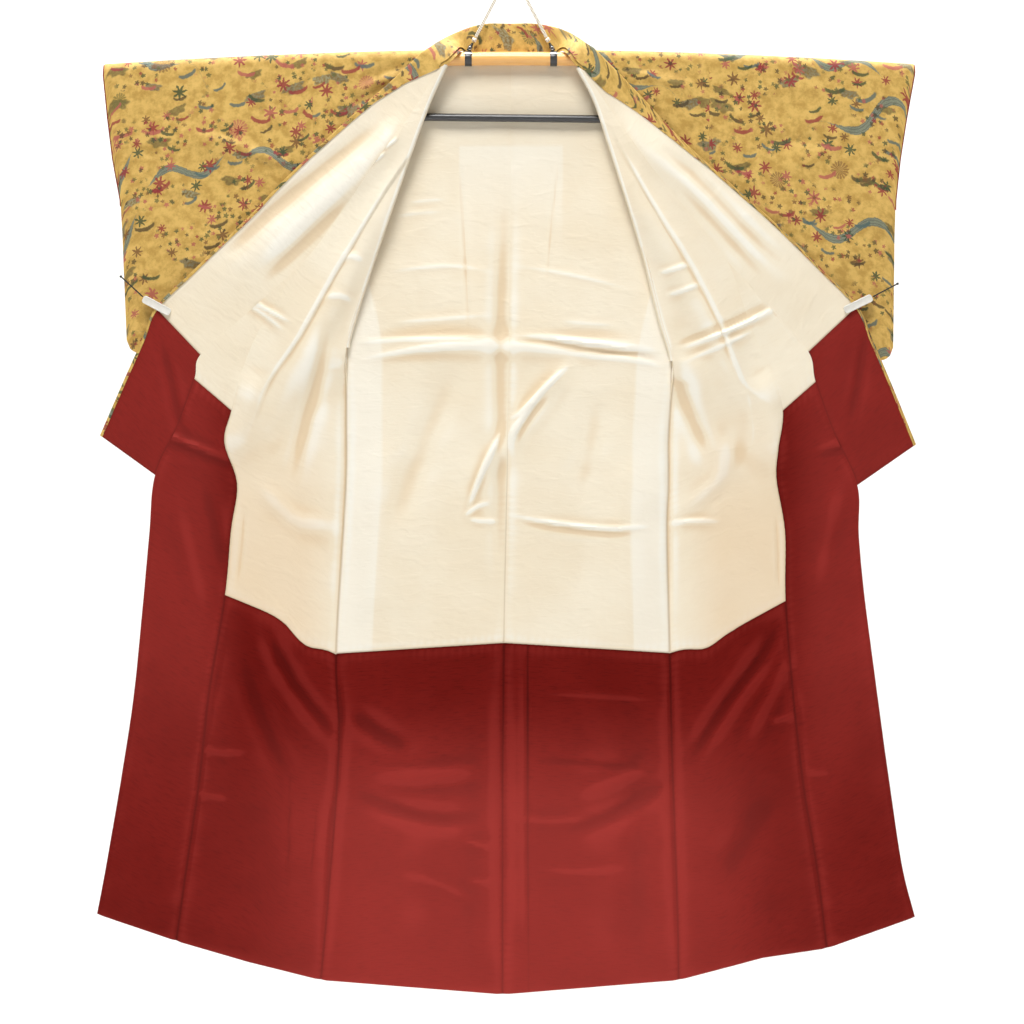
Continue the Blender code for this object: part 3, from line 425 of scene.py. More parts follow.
FRONT_FOLDS = folds_of(
    (-120, -215, -500, -560, 34, 5), (135, -225, 490, -560, 34, 5),
    (-165, -330, -405, -780, 24, 9), (170, -320, 398, -730, 24, 9),
    (-205, -450, -300, -650, 26, -3), (205, -450, 300, -650, 26, -3),
    (-425, -690, -470, -830, 26, 8), (418, -690, 450, -840, 26, 8),
    (-300, -640, -350, -900, 40, 4), (290, -660, 330, -860, 40, 4),
    (-417, -1090, -308, -1303, 30, 7), (432, -1133, 300, -1325, 30, 6),
    (-420, -1350, -445, -1640, 55, -6), (408, -1350, 432, -1640, 55, -6),
    (-590, -1000, -640, -1600, 60, 5), (575, -1000, 625, -1600, 60, 5))
BACK_FOLDS = folds_of(
    (100, -667, -57, -867, 18, 5), (-230, -640, 230, -640, 14, 4),
    (-150, -1200, -165, -1690, 45, 6), (140, -1200, 150, -1690, 45, 6),
    (-60, -1250, -70, -1700, 30, -4), (210, -1250, 215, -1680, 30, -4),
    (-215, -820, -235, -1100, 30, 5), (205, -820, 215, -1100, 30, 5))
SLEEVE_FOLDS = folds_of(
    (-568, -285, -372, -345, 16, 4), (-560, -460, -430, -540, 26, 3),
    (560, -300, 440, -350, 18, 3), (590, -470, 470, -540, 26, 3))
BACK_CREASES = creases_of(
    (3, -1.0, 27, -1085, 28, -1400, 30, -1713), (5, 0.8, 17, -1090, 18, -1400, 20, -1713),
    (4, 1.6, -275, -635, -180, -630, -68, -627, -18, -628),
    (5, 1.8, -268, -665, -202, -653, -143, -645, -22, -635),
    (7, -3.2, -12, -632, 48, -633, 148, -648, 262, -660),
    (4, 2.4, -12, -623, 48, -625, 148, -637, 262, -650),
    (4, 1.8, 85, -652, 148, -658, 215, -665, 268, -680),
    (4, 3.0, 102, -667, 62, -705, 15, -753, -10, -763),
    (4, 3.4, -13, -770, -27, -805, -50, -855, -75, -920), (4, 2.0, 60, -710, 32, -743, 3, -787, -3, -817),
    (7, -2.0, 75, -710, 45, -743, 15, -787, 5, -823), (4, 1.8, -82, -927, -55, -907, -32, -902),
    (4, 1.6, -78, -928, -48, -932, -18, -933),
    (4, 2.4, -12, -920, 70, -935, 163, -945, 215, -942, 255, -938),
    (6, -1.4, -8, -928, 70, -943, 163, -953, 232, -948),
    (15, -4.0, -7, -313, -13, -497, -17, -630, -15, -830, -15, -997, -15, -1130),
    (10, -3.0, -15, -1130, -13, -1330, -13, -1563, -13, -1713),
    (3, -0.7, -88, -303, -78, -480, -70, -633), (3, -0.6, 82, -303, 65, -463, 58, -547),
    (4, 0.7, -180, -402, -140, -397, -100, -395), (5, 0.7, -202, -425, -152, -418, -102, -415),
    (4, 0.8, -212, -517, -135, -508, -75, -508, -22, -520),
    (4, 0.8, -5, -505, 67, -515, 148, -532, 215, -550), (5, 0.9, -218, -603, -118, -595, -22, -588),
    (5, 0.8, 67, -597, 132, -603, 192, -607), (24, -3.6, -82, -650, -143, -797, -205, -972),
    (20, -2.2, 148, -697, 132, -813, 107, -913), (14, -4.0, -275, -1243, -218, -1288, -162, -1317),
    (15, 4.2, -248, -1357, -152, -1360, -35, -1350),
    (12, -4.2, -275, -1377, -202, -1410, -115, -1430, -35, -1423),
    (5, 2.0, -8, -1427, 65, -1433, 138, -1428), (5, 1.6, -88, -1463, -52, -1472, -15, -1483),
    (5, 1.4, -78, -1530, -45, -1535, -15, -1537),
    (14, -4.2, 278, -1357, 215, -1397, 152, -1430, 82, -1450),
    (12, 3.0, 248, -1330, 182, -1367, 98, -1397), (4, 1.4, 32, -1217, 148, -1225, 258, -1230),
    (5, -1.6, 32, -1330, 148, -1338, 258, -1350), (6, 1.2, -193, -1517, -118, -1538, -52, -1572),
    (6, 1.2, 32, -1510, 115, -1517, 215, -1507))
FRONT_CREASES = creases_of(
    (22, 3.4, -132, -222, -185, -282, -257, -360, -352, -443, -453, -545),
    (15, -4.0, -177, -238, -268, -313, -402, -422, -493, -510),
    (13, -2.4, -232, -363, -302, -430, -377, -500, -427, -550),
    (4, 2.0, -468, -542, -412, -577, -355, -607), (4, 1.6, -455, -562, -408, -590, -368, -623),
    (3, 1.4, -218, -317, -202, -307, -185, -293), (3, 1.4, -235, -340, -220, -330, -207, -317),
    (3, 1.4, -265, -383, -257, -363, -245, -343),
    (STEP, 4, 4.0, -108, -188, -150, -288, -210, -380, -292, -515, -352, -622, -405, -698, -428, -758,
     -452, -812),
    (6, 1.4, -285, -500, -265, -492, -242, -500), (6, 1.4, -315, -563, -285, -557, -258, -570),
    (13, -3.4, -300, -560, -318, -680, -350, -800, -368, -900),
    (15, 2.2, -270, -948, -318, -938, -368, -925, -440, -850),
    (3, -1.0, -340, -467, -422, -563, -483, -615, -515, -657),
    (13, -6.0, -417, -1090, -362, -1203, -275, -1313), (18, -3.2, -460, -1130, -415, -1263, -352, -1397),
    (3, -0.9, -368, -1337, -370, -1447, -372, -1563), (3, -0.8, -322, -1363, -330, -1480, -338, -1563),
    (6, 2.0, -527, -1310, -482, -1318, -435, -1317), (6, 1.6, -535, -1380, -510, -1390, -465, -1397),
    (4, -1.6, -463, -1058, -515, -1320, -520, -1373, -558, -1630),
    (5, 3.4, -662, -752, -618, -771, -570, -789, -487, -821, -450, -833),
    (5, -3.0, -655, -768, -618, -784, -570, -802, -487, -834, -450, -846),
    (3, -1.3, -444, -900, -450, -980, -458, -1054),
    (9, -1.8, -590, -600, -570, -680, -552, -760, -530, -820),
    (16, 1.8, -560, -860, -535, -980, -500, -1120), (14, -1.8, -520, -840, -490, -960, -470, -1060),
    (22, 3.4, 148, -247, 232, -313, 348, -405, 475, -520),
    (13, -4.0, 200, -282, 298, -355, 415, -473, 482, -522), (12, -2.2, 255, -348, 348, -447, 438, -545),
    (5, -3.2, 267, -640, 355, -607, 415, -577, 463, -547),
    (4, 2.4, 267, -652, 355, -618, 423, -587, 468, -562), (4, 1.6, 282, -670, 362, -635, 418, -607),
    (4, 2.0, 242, -520, 272, -513, 302, -503), (4, 2.0, 255, -557, 288, -548, 320, -535),
    (STEP, 4, 4.0, 153, -247, 200, -338, 248, -422, 297, -500, 350, -603, 385, -698, 438, -738, 453,
     -755),
    (13, -3.2, 262, -640, 285, -720, 318, -800, 336, -850),
    (14, 2.2, 370, -760, 352, -850, 318, -890, 270, -930),
    (3, -1.0, 367, -503, 427, -572, 463, -610, 498, -657),
    (13, -6.0, 458, -1083, 415, -1163, 365, -1230, 282, -1357),
    (14, 3.0, 482, -1130, 432, -1230, 382, -1330), (25, -3.2, 445, -1363, 390, -1463, 338, -1563),
    (6, 2.0, 428, -1267, 455, -1262, 478, -1257), (5, 1.6, 482, -1347, 508, -1353, 538, -1350),
    (4, -1.6, 450, -1068, 463, -1178, 480, -1260, 483, -1325, 497, -1440, 527, -1642),
    (5, 3.4, 660, -762, 617, -772, 557, -799, 500, -812),
    (5, -3.0, 655, -776, 617, -785, 557, -812, 500, -826), (3, -1.3, 442, -905, 445, -985, 448, -1064),
    (4, 3.0, 545, -798, 558, -808, 568, -822), (9, -1.8, 595, -590, 580, -690, 560, -790),
    (16, 1.8, 560, -830, 530, -950, 505, -1080), (4, 2.2, 255, -938, 298, -932, 357, -933))
SIDE_CREASES = creases_of(
    (8, -3.0, -275, -638, -275, -797, -280, -943, -292, -1150),
    (5, -2.4, -292, -1150, -283, -1243, -285, -1297, -290, -1368, -300, -1450, -315, -1680),
    (8, -3.0, 272, -673, 263, -768, 263, -888, 263, -1015, 265, -1150),
    (5, -2.4, 265, -1150, 268, -1325, 272, -1470, 280, -1692))
SLEEVE_CREASES = creases_of(
    (6, -4.5, 174, -172, 240, -178, 315, -200), (6, 3.5, 178, -184, 244, -196, 315, -219),
    (7, -4.5, 170, -190, 212, -233, 254, -287), (6, 3.0, 186, -196, 226, -236, 268, -284),
    (6, -4.0, 206, -216, 250, -262, 286, -311), (6, -3.6, 290, -330, 300, -290, 322, -262),
    (6, -4.5, -155, -170, -205, -182, -262, -204), (6, 3.5, -165, -186, -214, -200, -270, -224),
    (7, -4.2, -182, -196, -232, -222, -286, -248), (6, -3.6, -206, -250, -242, -262, -290, -300),
    (6, 3.0, -200, -235, -246, -250, -296, -282), (5, -2.6, -640, -300, -600, -322, -560, -330),
    (5, -2.4, 590, -262, 560, -300, 540, -345), (5, 2.0, -420, -470, -450, -520, -500, -560),
    (5, 2.0, 430, -455, 470, -520, 520, -560), (6, 4.0, -535, -282, -480, -300, -415, -322, -357, -343),
    (6, -4.0, -493, -312, -435, -333, -355, -357), (9, 2.6, -458, -417, -415, -413, -372, -430),
    (9, -2.4, -602, -493, -535, -480, -468, -500), (7, 1.6, -652, -223, -568, -210, -468, -217),
    (8, -1.8, -618, -380, -565, -397, -518, -390), (7, 1.6, 365, -223, 465, -210, 565, -220),
    (9, -2.4, 382, -313, 465, -297, 565, -313), (9, 2.4, 415, -405, 482, -420, 565, -407),
    (8, -2.0, 465, -500, 532, -493, 602, -507), (8, 2.0, 298, -217, 348, -247, 402, -267),
    (8, -1.8, -302, -197, -265, -223, -232, -247))
print("creases:", len(BACK_CREASES) + len(FRONT_CREASES) + len(SLEEVE_CREASES) + len(SIDE_CREASES))

# %% How a crease lifts the cloth
CREASE_REACH = 2.6
STEP_REACH = 24
STEP_DECAY = 9
TAPER_SHARE = 0.36
FOLD_OVERRUN = 0.12
FOLD_TAPER = 0.4


def folds_height(x, z, folds):
    """How far the broad folds lift the cloth towards the viewer."""
    total = np.zeros_like(x)
    for fold in folds:
        along_x = (fold.x1 - fold.x0) * MM
        along_z = (fold.z1 - fold.z0) * MM
        from_x = x - fold.x0 * MM
        from_z = z - fold.z0 * MM
        share = (from_x * along_x + from_z * along_z) / (along_x ** 2 + along_z ** 2)
        ends = smoothstep((share + FOLD_OVERRUN) / FOLD_TAPER)
        ends = ends * smoothstep((1 + FOLD_OVERRUN - share) / FOLD_TAPER)
        share = np.clip(share, 0.0, 1.0)
        distance = np.hypot(from_x - share * along_x, from_z - share * along_z)
        total += fold.height * MM * ends * np.exp(-(distance / (fold.half_width * MM)) ** 2)
    return total


def crease_shape(x, z, crease, path):
    """One crease's height at points near it: full on its path, fading at its ends and sides."""
    width = crease.half_width * MM
    lengths = np.linalg.norm(np.diff(path, axis=0), axis=1)
    whole = lengths.sum()
    nearest = np.full_like(x, np.inf)
    run = np.zeros_like(x)
    turned = np.zeros_like(x)
    before = 0.0
    for start, end, length in zip(path, path[1:], lengths):
        along = (end - start) / length
        place = np.clip((x - start[0]) * along[0] + (z - start[1]) * along[1], 0.0, length)
        off_x = x - start[0] - place * along[0]
        off_z = z - start[1] - place * along[1]
        distance = np.hypot(off_x, off_z)
        closer = distance < nearest
        nearest = np.where(closer, distance, nearest)
        run = np.where(closer, before + place, run)
        turned = np.where(closer, along[0] * off_z - along[1] * off_x, turned)
        before += length
    shape = np.exp(-(nearest / width) ** 2)
    if crease.is_step:
        gentle = np.exp(-nearest / (STEP_DECAY * width))
        shape = np.where(turned * np.sign(x) > 0, gentle, shape)
    ends = smoothstep(np.minimum(run, whole - run) / (TAPER_SHARE * whole))
    return crease.height * MM * shape * ends


def creases_height(x, z, creases):
    """How far the creases lift the cloth towards the viewer."""
    total = np.zeros_like(x)
    for crease in creases:
        steps = np.linspace(0, len(crease.path) - 1, 3 * len(crease.path) - 2)
        path = curve_at(crease.path, steps) * MM
        reach = crease.half_width * MM * (STEP_REACH if crease.is_step else CREASE_REACH)
        low = path.min(axis=0) - reach
        high = path.max(axis=0) + reach
        near = (x > low[0]) & (x < high[0]) & (z > low[1]) & (z < high[1])
        if near.any():
            total[near] += crease_shape(x[near], z[near], crease, path)
    return total


def ripples(x, z, size):
    """A faint unevenness with no regular repeat, from waves of a few centimetres."""
    x = x / MM
    z = z / MM
    wave = np.sin(x / 47 + 2.1 * np.sin(z / 83)) * np.sin(z / 29 + 1.3 * np.sin(x / 61))
    wave += 0.5 * np.sin(x / 19 - z / 37 + 1.7 * np.sin(z / 53)) * np.sin(z / 17 + x / 71)
    return size * wave


print("a left pleat's crest:", creases_height(np.array([-0.15]), np.array([-0.288]), FRONT_CREASES))

# %% Depths of the hanging walls
SETTLE_NEAR = 80 * MM
SETTLE_MORE = 320 * MM
SETTLE_X = 270 * MM
SETTLE_WIDTH = 330 * MM
BACK_FADE_X = 300 * MM
SEAM_FADE_X = 262 * MM
ROLL_FADE_X = 162 * MM
FADE_WIDTH = 50 * MM
SEAM_RUN = 40 * MM
DEEP_FROM = 7
RIPPLE = 0.5 * MM
CREASE_GAIN = 1.5


def deep(creases):
    """The creases that the outer silk takes too; the finer ones are in the lining alone."""
    return [c for c in creases if c.half_width >= DEEP_FROM or c.is_step]


def fine(creases):
    """The creases that only the lining has."""
    return [c for c in creases if c.half_width < DEEP_FROM and not c.is_step]


def wall_depths(x, z):
    """The depths of the front and back walls that hang from the pole."""
    fallen = np.clip((pole_z(x) - z) / FALL, 0.0, 1.0)
    half_gap = DRAPE_RADIUS * (1 - fallen) + BODY_HALF_GAP * fallen
    return MEET_DEPTH * fallen - half_gap, MEET_DEPTH * fallen + half_gap


def back_depth(x, z):
    """The depth of the back panels."""
    fade = smoothstep((BACK_FADE_X - abs(x)) / FADE_WIDTH)
    relief = folds_height(x, z, BACK_FOLDS) + CREASE_GAIN * creases_height(x, z, deep(BACK_CREASES))
    relief += ripples(x, z, RIPPLE)
    return wall_depths(x, z)[1] - relief * fade - creases_height(x, z, SIDE_CREASES)


def front_depth(x, z):
    """The depth of an opened front: over the shoulder, then down to the side seam."""
    lapel = wall_depths(x, z)[0] - 2 * ROLL_RADIUS
    top = np.where(x > 0, FRONT_ROWS[RIGHT][CLIP][1], FRONT_ROWS[LEFT][CLIP][1]) * MM
    reach = SETTLE_NEAR + SETTLE_MORE * smoothstep((abs(x) - SETTLE_X) / SETTLE_WIDTH)
    settled = smoothstep((top - z) / reach)
    depth = lapel * (1 - settled) + wall_depths(x, z)[1] * settled
    below = smoothstep((top - z) / SEAM_RUN)
    start = ROLL_FADE_X * (1 - below) + SEAM_FADE_X * below
    fade = smoothstep((abs(x) - start) / FADE_WIDTH)
    relief = folds_height(x, z, FRONT_FOLDS) + ripples(x, z, RIPPLE)
    sharp = smoothstep((abs(x) - start + FADE_WIDTH) / FADE_WIDTH)
    relief = relief * fade + CREASE_GAIN * creases_height(x, z, deep(FRONT_CREASES)) * sharp
    return depth - relief - creases_height(x, z, SIDE_CREASES) * below


def on_panel(x, z, depth):
    """Points of a hanging panel and their normals towards the viewer."""
    step = MM
    slope_x = (depth(x + step, z) - depth(x - step, z)) / (2 * step)
    slope_z = (depth(x, z + step) - depth(x, z - step)) / (2 * step)
    normal = np.stack([slope_x, -np.ones_like(x), slope_z], axis=-1)
    normal /= np.linalg.norm(normal, axis=-1, keepdims=True)
    return np.stack([x, depth(x, z), z], axis=-1), normal


print("wall depths at the armpit:", wall_depths(np.array([0.33]), np.array([-0.4])))

# %% [markdown]
# Every layer of cloth starts as a sheet: a fine net of points on the layer's own surface. Solidify
# then gives it a real edge and an inside. A lining is eased a little fuller than its shell, so it
# puffs between its seams, sinks into them, and puckers beside them; that is what makes it look sewn.

# %% From a net of points to a piece of cloth
Seams = namedtuple("Seams", "first last top bottom")
NO_SEAMS = Seams(0, 0, 0, 0)
SEAM_ROUND = 5 * MM
PUCKER_REACH = 13 * MM
PUCKER_LENGTH = 12 * MM
PUCKER_SWAY = 1.7
SWAY_LENGTH = 31 * MM
SWELL_SHARE = 0.4
SWELL_LENGTH = 57 * MM
SWELL_SWAY_LENGTH = 23 * MM
PUCKER_IN_SEAM = 0.3
FAR_FROM_SEAM = 1.0
FAINT_SEAM = 7 * MM
LEAST_SEAM = 0.01
# The window and depth that hollows are measured by, for their painted shade and highlights
HOLLOW_WINDOW = 6
HOLLOW_DEPTH = 1.1 * MM
CLOTH_SMOOTH_ANGLE = math.radians(50)
FRONT_FROM = 0.6
FRONT_RUN = 0.35
CUT_STEP = np.array([0.83, 0.47])
made_pieces = {}


def measured(points):
    """Distances across each row and down each column of a net."""
    across = np.linalg.norm(np.diff(points, axis=1), axis=2)
    down = np.linalg.norm(np.diff(points, axis=0), axis=2)
    u = np.pad(np.cumsum(across, axis=1), ((0, 0), (1, 0)))
    v = np.pad(np.cumsum(down, axis=0), ((1, 0), (0, 0)))
    return u, v


def sides_of(points, seams):
    """For each side: distance from it, distance along it, and how much of a seam it is."""
    u, v = measured(points)
    return ((u, v, seams.first), (u[:, -1:] - u, v, seams.last),
            (v, u, seams.top), (v[-1:] - v, u, seams.bottom))


def eased(points, seams, puff, pucker):
    """How far a lining stands off its seams' level: fuller between them, puckered beside them."""
    rest = 1.0
    ripple = 0.0
    for distance, along, strength in sides_of(points, seams):
        rest = rest * (1 - strength * np.exp(-(distance / SEAM_ROUND) ** 2))
        wave = np.sin(2 * math.pi * along / PUCKER_LENGTH + PUCKER_SWAY * np.sin(along / SWAY_LENGTH))
        swell = np.sin(along / SWELL_LENGTH + 2 * np.sin(along / SWELL_SWAY_LENGTH))
        wave = wave * (1 - SWELL_SHARE + SWELL_SHARE * swell)
        ripple = ripple + strength * np.exp(-distance / PUCKER_REACH) * wave
    return puff * rest + pucker * ripple * np.minimum(1.0, rest + PUCKER_IN_SEAM)


def seam_distance(points, seams):
    """The distance of each point from the nearest seam."""
    nearest = np.full(points.shape[:2], FAR_FROM_SEAM)
    for distance, _, strength in sides_of(points, seams):
        none = np.where(np.asarray(strength) > LEAST_SEAM, 0.0, FAR_FROM_SEAM)
        nearest = np.minimum(nearest, distance + none + (1 - strength) * FAINT_SEAM)
    return nearest


def hollows(points):
    """From -1 on a ridge to 1 in a hollow: how far each point lies behind its surroundings."""
    average = points[..., 1]
    kernel = np.hanning(2 * HOLLOW_WINDOW + 3)[1:-1]
    for axis in (0, 1):
        if average.shape[axis] > 2 * HOLLOW_WINDOW:
            padding = [(HOLLOW_WINDOW, HOLLOW_WINDOW) if side == axis else (0, 0) for side in (0, 1)]
            padded = np.pad(average, padding, mode="reflect", reflect_type="odd")
            average = np.apply_along_axis(np.convolve, axis, padded, kernel / kernel.sum(), mode="valid")
    return np.clip((points[..., 1] - average) / HOLLOW_DEPTH, -1, 1)


def add_sheet(name, points, normals, thickness, seams, allowance_and_light=None):
    """A new object with one layer of square cells, its flat measures as UVs, and its seams."""
    rows, columns = points.shape[:2]
    index = np.arange(rows * columns).reshape(rows, columns)
    corners = [index[:-1, :-1], index[:-1, 1:], index[1:, 1:], index[1:, :-1]]
    facing = np.cross(points[:-1, 1:] - points[:-1, :-1], points[1:, :-1] - points[:-1, :-1])
    if (facing * normals[:-1, :-1]).sum() < 0:
        corners = corners[::-1]
    faces = np.stack([corner.ravel() for corner in corners], axis=1)
    mesh = bpy.data.meshes.new(name)
    mesh.from_pydata(points.reshape(-1, 3).tolist(), [], faces.tolist())
    u, v = measured(points)
    flat = np.stack([u.ravel(), v.ravel()], axis=1) + CUT_STEP * len(made_pieces)
    mesh.uv_layers.new(name="cut").data.foreach_set("uv", flat[faces.ravel()].ravel())
    # The hollow attribute drives painted shade in hollows and painted highlights on ridges, kept to faces
    # turned to the front; from_seam drives painted shade at the seams
    turned_front = smoothstep((-normals[..., 1] - FRONT_FROM) / FRONT_RUN)
    values = {"from_seam": seam_distance(points, seams), "hollow": hollows(points) * turned_front}
    if allowance_and_light is not None:
        values["allowance_and_painted_light"] = allowance_and_light
    for title, value in values.items():
        mesh.attributes.new(title, "FLOAT", "POINT").data.foreach_set("value", value.ravel())
    piece = bpy.data.objects.new(name, mesh)
    bpy.context.scene.collection.objects.link(piece)
    select_only(piece)
    modify(piece, "SOLIDIFY", thickness=thickness, offset=1)
    bpy.ops.object.shade_smooth_by_angle(angle=CLOTH_SMOOTH_ANGLE)
    return piece, u, v


def cloth(name, points, normals, low, thickness, finish, nodes, seams=NO_SEAMS, allowance_and_light=None):
    """A sheet of cloth: low is how far its near face stands off the net of points."""
    sheet = points + normals * np.asarray(low)[..., None]
    piece, u, v = add_sheet(name, sheet, normals, thickness, seams, allowance_and_light)
    piece.data.materials.append(finish)
    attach(piece, "root")
    if nodes:
        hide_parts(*nodes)
    made_pieces[name] = len(piece.data.polygons)
    return piece


print("pucker every", PUCKER_LENGTH / MM, "mm")

# %% [markdown]
# The finishes come before the pieces that wear them. A recipe is one material's node tree: each
# method adds a node, sets or links what it is given, and gives the node's output.

# %% Recipes for finishes
WEAVE_DISTORTION = 1.5
WEAVE_DETAIL = 2.0


class Recipe:
    """One finish: a Principled material with a method for each kind of node that is used."""

    def __init__(self, name, colour, roughness, **sockets):
        self.material = bpy.data.materials.new(f"{name}_finish")
        self.material["slot"] = name
        self.material.use_nodes = True
        self.tree = self.material.node_tree
        self.shader = self.tree.nodes["Principled BSDF"]
        self.shader.inputs["Base Color"].default_value = (*colour, 1.0)
        self.shader.inputs["Roughness"].default_value = roughness
        for key, value in sockets.items():
            self.shader.inputs[key.replace("_", " ")].default_value = value

    def give(self, value, socket):
        """Link a socket, or set it to a value; a colour may come without its alpha."""
        if isinstance(value, bpy.types.NodeSocket):
            self.tree.links.new(value, socket)
        elif value is not None:
            if socket.type == "RGBA" and len(value) == 3:
                value = (*value, 1)
            socket.default_value = value

    def add(self, kind, *inputs, out=0, **settings):
        """Any node, by its kind, with its inputs in order."""
        made = self.tree.nodes.new("ShaderNode" + kind)
        for key, value in settings.items():
            setattr(made, key, value)
        for socket, value in zip(made.inputs, inputs):
            self.give(value, socket)
        return made.outputs[out]

    def math(self, operation, *values, clamp=False):
        """One step of arithmetic."""
        return self.add("Math", *values, operation=operation, use_clamp=clamp)

    def times(self, first, second):
        """A product."""
        return self.math("MULTIPLY", first, second)

    def times_plus(self, value, factor, more):
        """A product and a sum."""
        return self.math("MULTIPLY_ADD", value, factor, more)

    def vector(self, operation, *values, out=0):
        """One step of arithmetic with vectors."""
        return self.add("VectorMath", *values, operation=operation, out=out)

    def part(self, vector, index):
        """The x, y or z of a vector."""
        return self.add("SeparateXYZ", vector, out=index)

    def blend(self, share, first, second):
        """Two colours mixed by a share from 0 to 1."""
        made = self.tree.nodes.new("ShaderNodeMix")
        made.data_type = "RGBA"
        for index, value in ((0, share), (6, first), (7, second)):
            self.give(value, made.inputs[index])
        return made.outputs[2]

    def soft_step(self, value, low, high):
        """0 below low, 1 above high, and an S curve between them."""
        return self.add("MapRange", value, low, high, 0.0, 1.0, interpolation_type="SMOOTHSTEP")

    def noise(self, place, scale, detail=2.0, roughness=0.5, out=0):
        """Cloudy noise, this many to the metre."""
        return self.add("TexNoise", place, None, scale, detail, roughness, out=out)

    def squeezed(self, place, scale):
        """A place with its measures scaled, so that a texture on it is stretched."""
        return self.add("Mapping", place, None, None, scale)

    def weave(self, place, threads):
        """Fine crossing threads, this many to the metre each way."""
        warp, weft = (self.add("TexWave", place, threads, WEAVE_DISTORTION, WEAVE_DETAIL, out=1,
                               bands_direction=way) for way in "XY")
        return self.math("ADD", warp, weft)

    def cut_place(self):
        """The cloth's own flat measures, in metres."""
        return self.add("UVMap", uv_map="cut")

    def object_place(self):
        """Object coordinates, in metres."""
        return self.add("TexCoord", out=3)

    def attribute(self, name):
        """A value that the mesh carries at its points."""
        return self.add("Attribute", attribute_name=name, out=2)

    def paint(self, colour):
        """Give the shader its colour."""
        self.tree.links.new(colour, self.shader.inputs["Base Color"])

    def bump(self, height, distance, strength):
        """Give the shader a relief of this depth in metres."""
        relief = self.add("Bump", strength, distance, None, height)
        self.tree.links.new(relief, self.shader.inputs["Normal"])


print("recipes ready")

# %% [markdown]
# The body lining is plain cream silk with a satin glow. Where seam allowances lie behind it, it is a
# little brighter, and below the neck a patch of painted light makes it brighter too. Its hollows get
# painted shade and its ridges painted highlights, and right at a seam a warm, dark painted shade. The
# hem lining is a deep red silk of the same kind, with less glow.

# %% Lining silks
SLUB_STRETCH = (0.12, 1.0, 1.0)
CRUMPLE_STRETCH = (0.45, 1.0, 1.0)
CRUMPLES = ((16.0, 2.4), (38.0, 1.2))
CRUMPLE_WIDTH = 0.075
SEAM_SHADE = (0.0038, 0.0004)
SEAM_SHADE_SHARE = 0.55
ALLOWANCE_AND_LIGHT_SHARE = 0.5
# Tones: ridge is a painted highlight tone, also used where seam allowances lie behind; hollow is a painted
# shade tone, also the slubs' colour; seam is a painted shade tone
Tones = namedtuple("Tones", "base cloud ridge hollow seam")


def lining_silk(name, tones, roughness, sheen, sheen_tint, gloss, slub_share, crumple,
                ridge_highlight_share, hollow_shade_share):
    """Plain silk: clouded and slubbed across, with painted shade in its hollows and seams and painted
    highlights on its ridges.
    """
    silk = Recipe(name, tones.base, roughness, Sheen_Weight=sheen, Sheen_Roughness=0.35,
                  Sheen_Tint=(*sheen_tint, 1), Specular_IOR_Level=gloss, Specular_Tint=(*sheen_tint, 1))
    place = silk.cut_place()
    clouds = silk.noise(place, 5.0, 3.0, 0.55)
    colour = silk.blend(silk.soft_step(clouds, 0.35, 0.65), tones.base, tones.cloud)
    slubs = silk.noise(silk.squeezed(place, SLUB_STRETCH), 420.0, 3.0, 0.65)
    slubbed = silk.times(silk.soft_step(slubs, 0.45, 0.75), slub_share)
    colour = silk.blend(slubbed, colour, tones.hollow)
    # Painted highlights on the ridges and painted shade in the hollows
    lie = silk.attribute("hollow")
    up = silk.times(silk.soft_step(lie, -0.05, -0.9), ridge_highlight_share)
    down = silk.times(silk.soft_step(lie, 0.05, 0.9), hollow_shade_share)
    colour = silk.blend(down, silk.blend(up, colour, tones.ridge), tones.hollow)
    # Lighter where seam allowances lie behind, and on a patch of painted light below the neck
    allowance_and_light = silk.times(silk.attribute("allowance_and_painted_light"), ALLOWANCE_AND_LIGHT_SHARE)
    colour = silk.blend(allowance_and_light, colour, tones.ridge)
    # Painted shade at the seams
    seam_shade_mask = silk.times(silk.soft_step(silk.attribute("from_seam"), *SEAM_SHADE), SEAM_SHADE_SHARE)
    colour = silk.blend(seam_shade_mask, colour, tones.seam)
    relief = silk.times_plus(silk.weave(place, 520.0), 0.25, slubs)
    across = silk.squeezed(place, CRUMPLE_STRETCH)
    for scale, height in CRUMPLES:
        crease = silk.math("ABSOLUTE", silk.math("SUBTRACT", silk.noise(across, scale, 3.0), 0.5))
        ridge = silk.times(silk.soft_step(crease, CRUMPLE_WIDTH, 0.0), height * crumple)
        relief = silk.math("ADD", relief, ridge)
    silk.bump(relief, 0.00014, 0.8)
    return silk, colour


CREAM_TONES = Tones((0.90, 0.785, 0.59), (0.94, 0.845, 0.665), (0.98, 0.95, 0.85), (0.79, 0.60, 0.375),
                    (0.42, 0.27, 0.13))
RED_TONES = Tones((0.132, 0.0050, 0.0035), (0.162, 0.0075, 0.0055), (0.250, 0.020, 0.016),
                  (0.065, 0.0025, 0.0022), (0.035, 0.002, 0.002))
cream, cream_colour = lining_silk("cream_silk", CREAM_TONES, 0.40, 0.12, (1.0, 0.93, 0.80), 0.5,
                                  0.10, 1.0, 0.8, 0.75)
red, red_colour = lining_silk("red_silk", RED_TONES, 0.55, 0.04, (1.0, 0.20, 0.15), 0.28,
                              0.6, 0.6, 0.45, 0.45)

# %% Painted light on the red, and yellowing
# How much lighter the red is painted as painted light, and how much of it at the middle
PAINTED_LIGHT_ADDS = (0.205, 0.031, 0.026)
MIDDLE_PAINTED_LIGHT = 0.85
YELLOW_SHARE = 0.55
YELLOWED_TONE = (0.82, 0.60, 0.37)


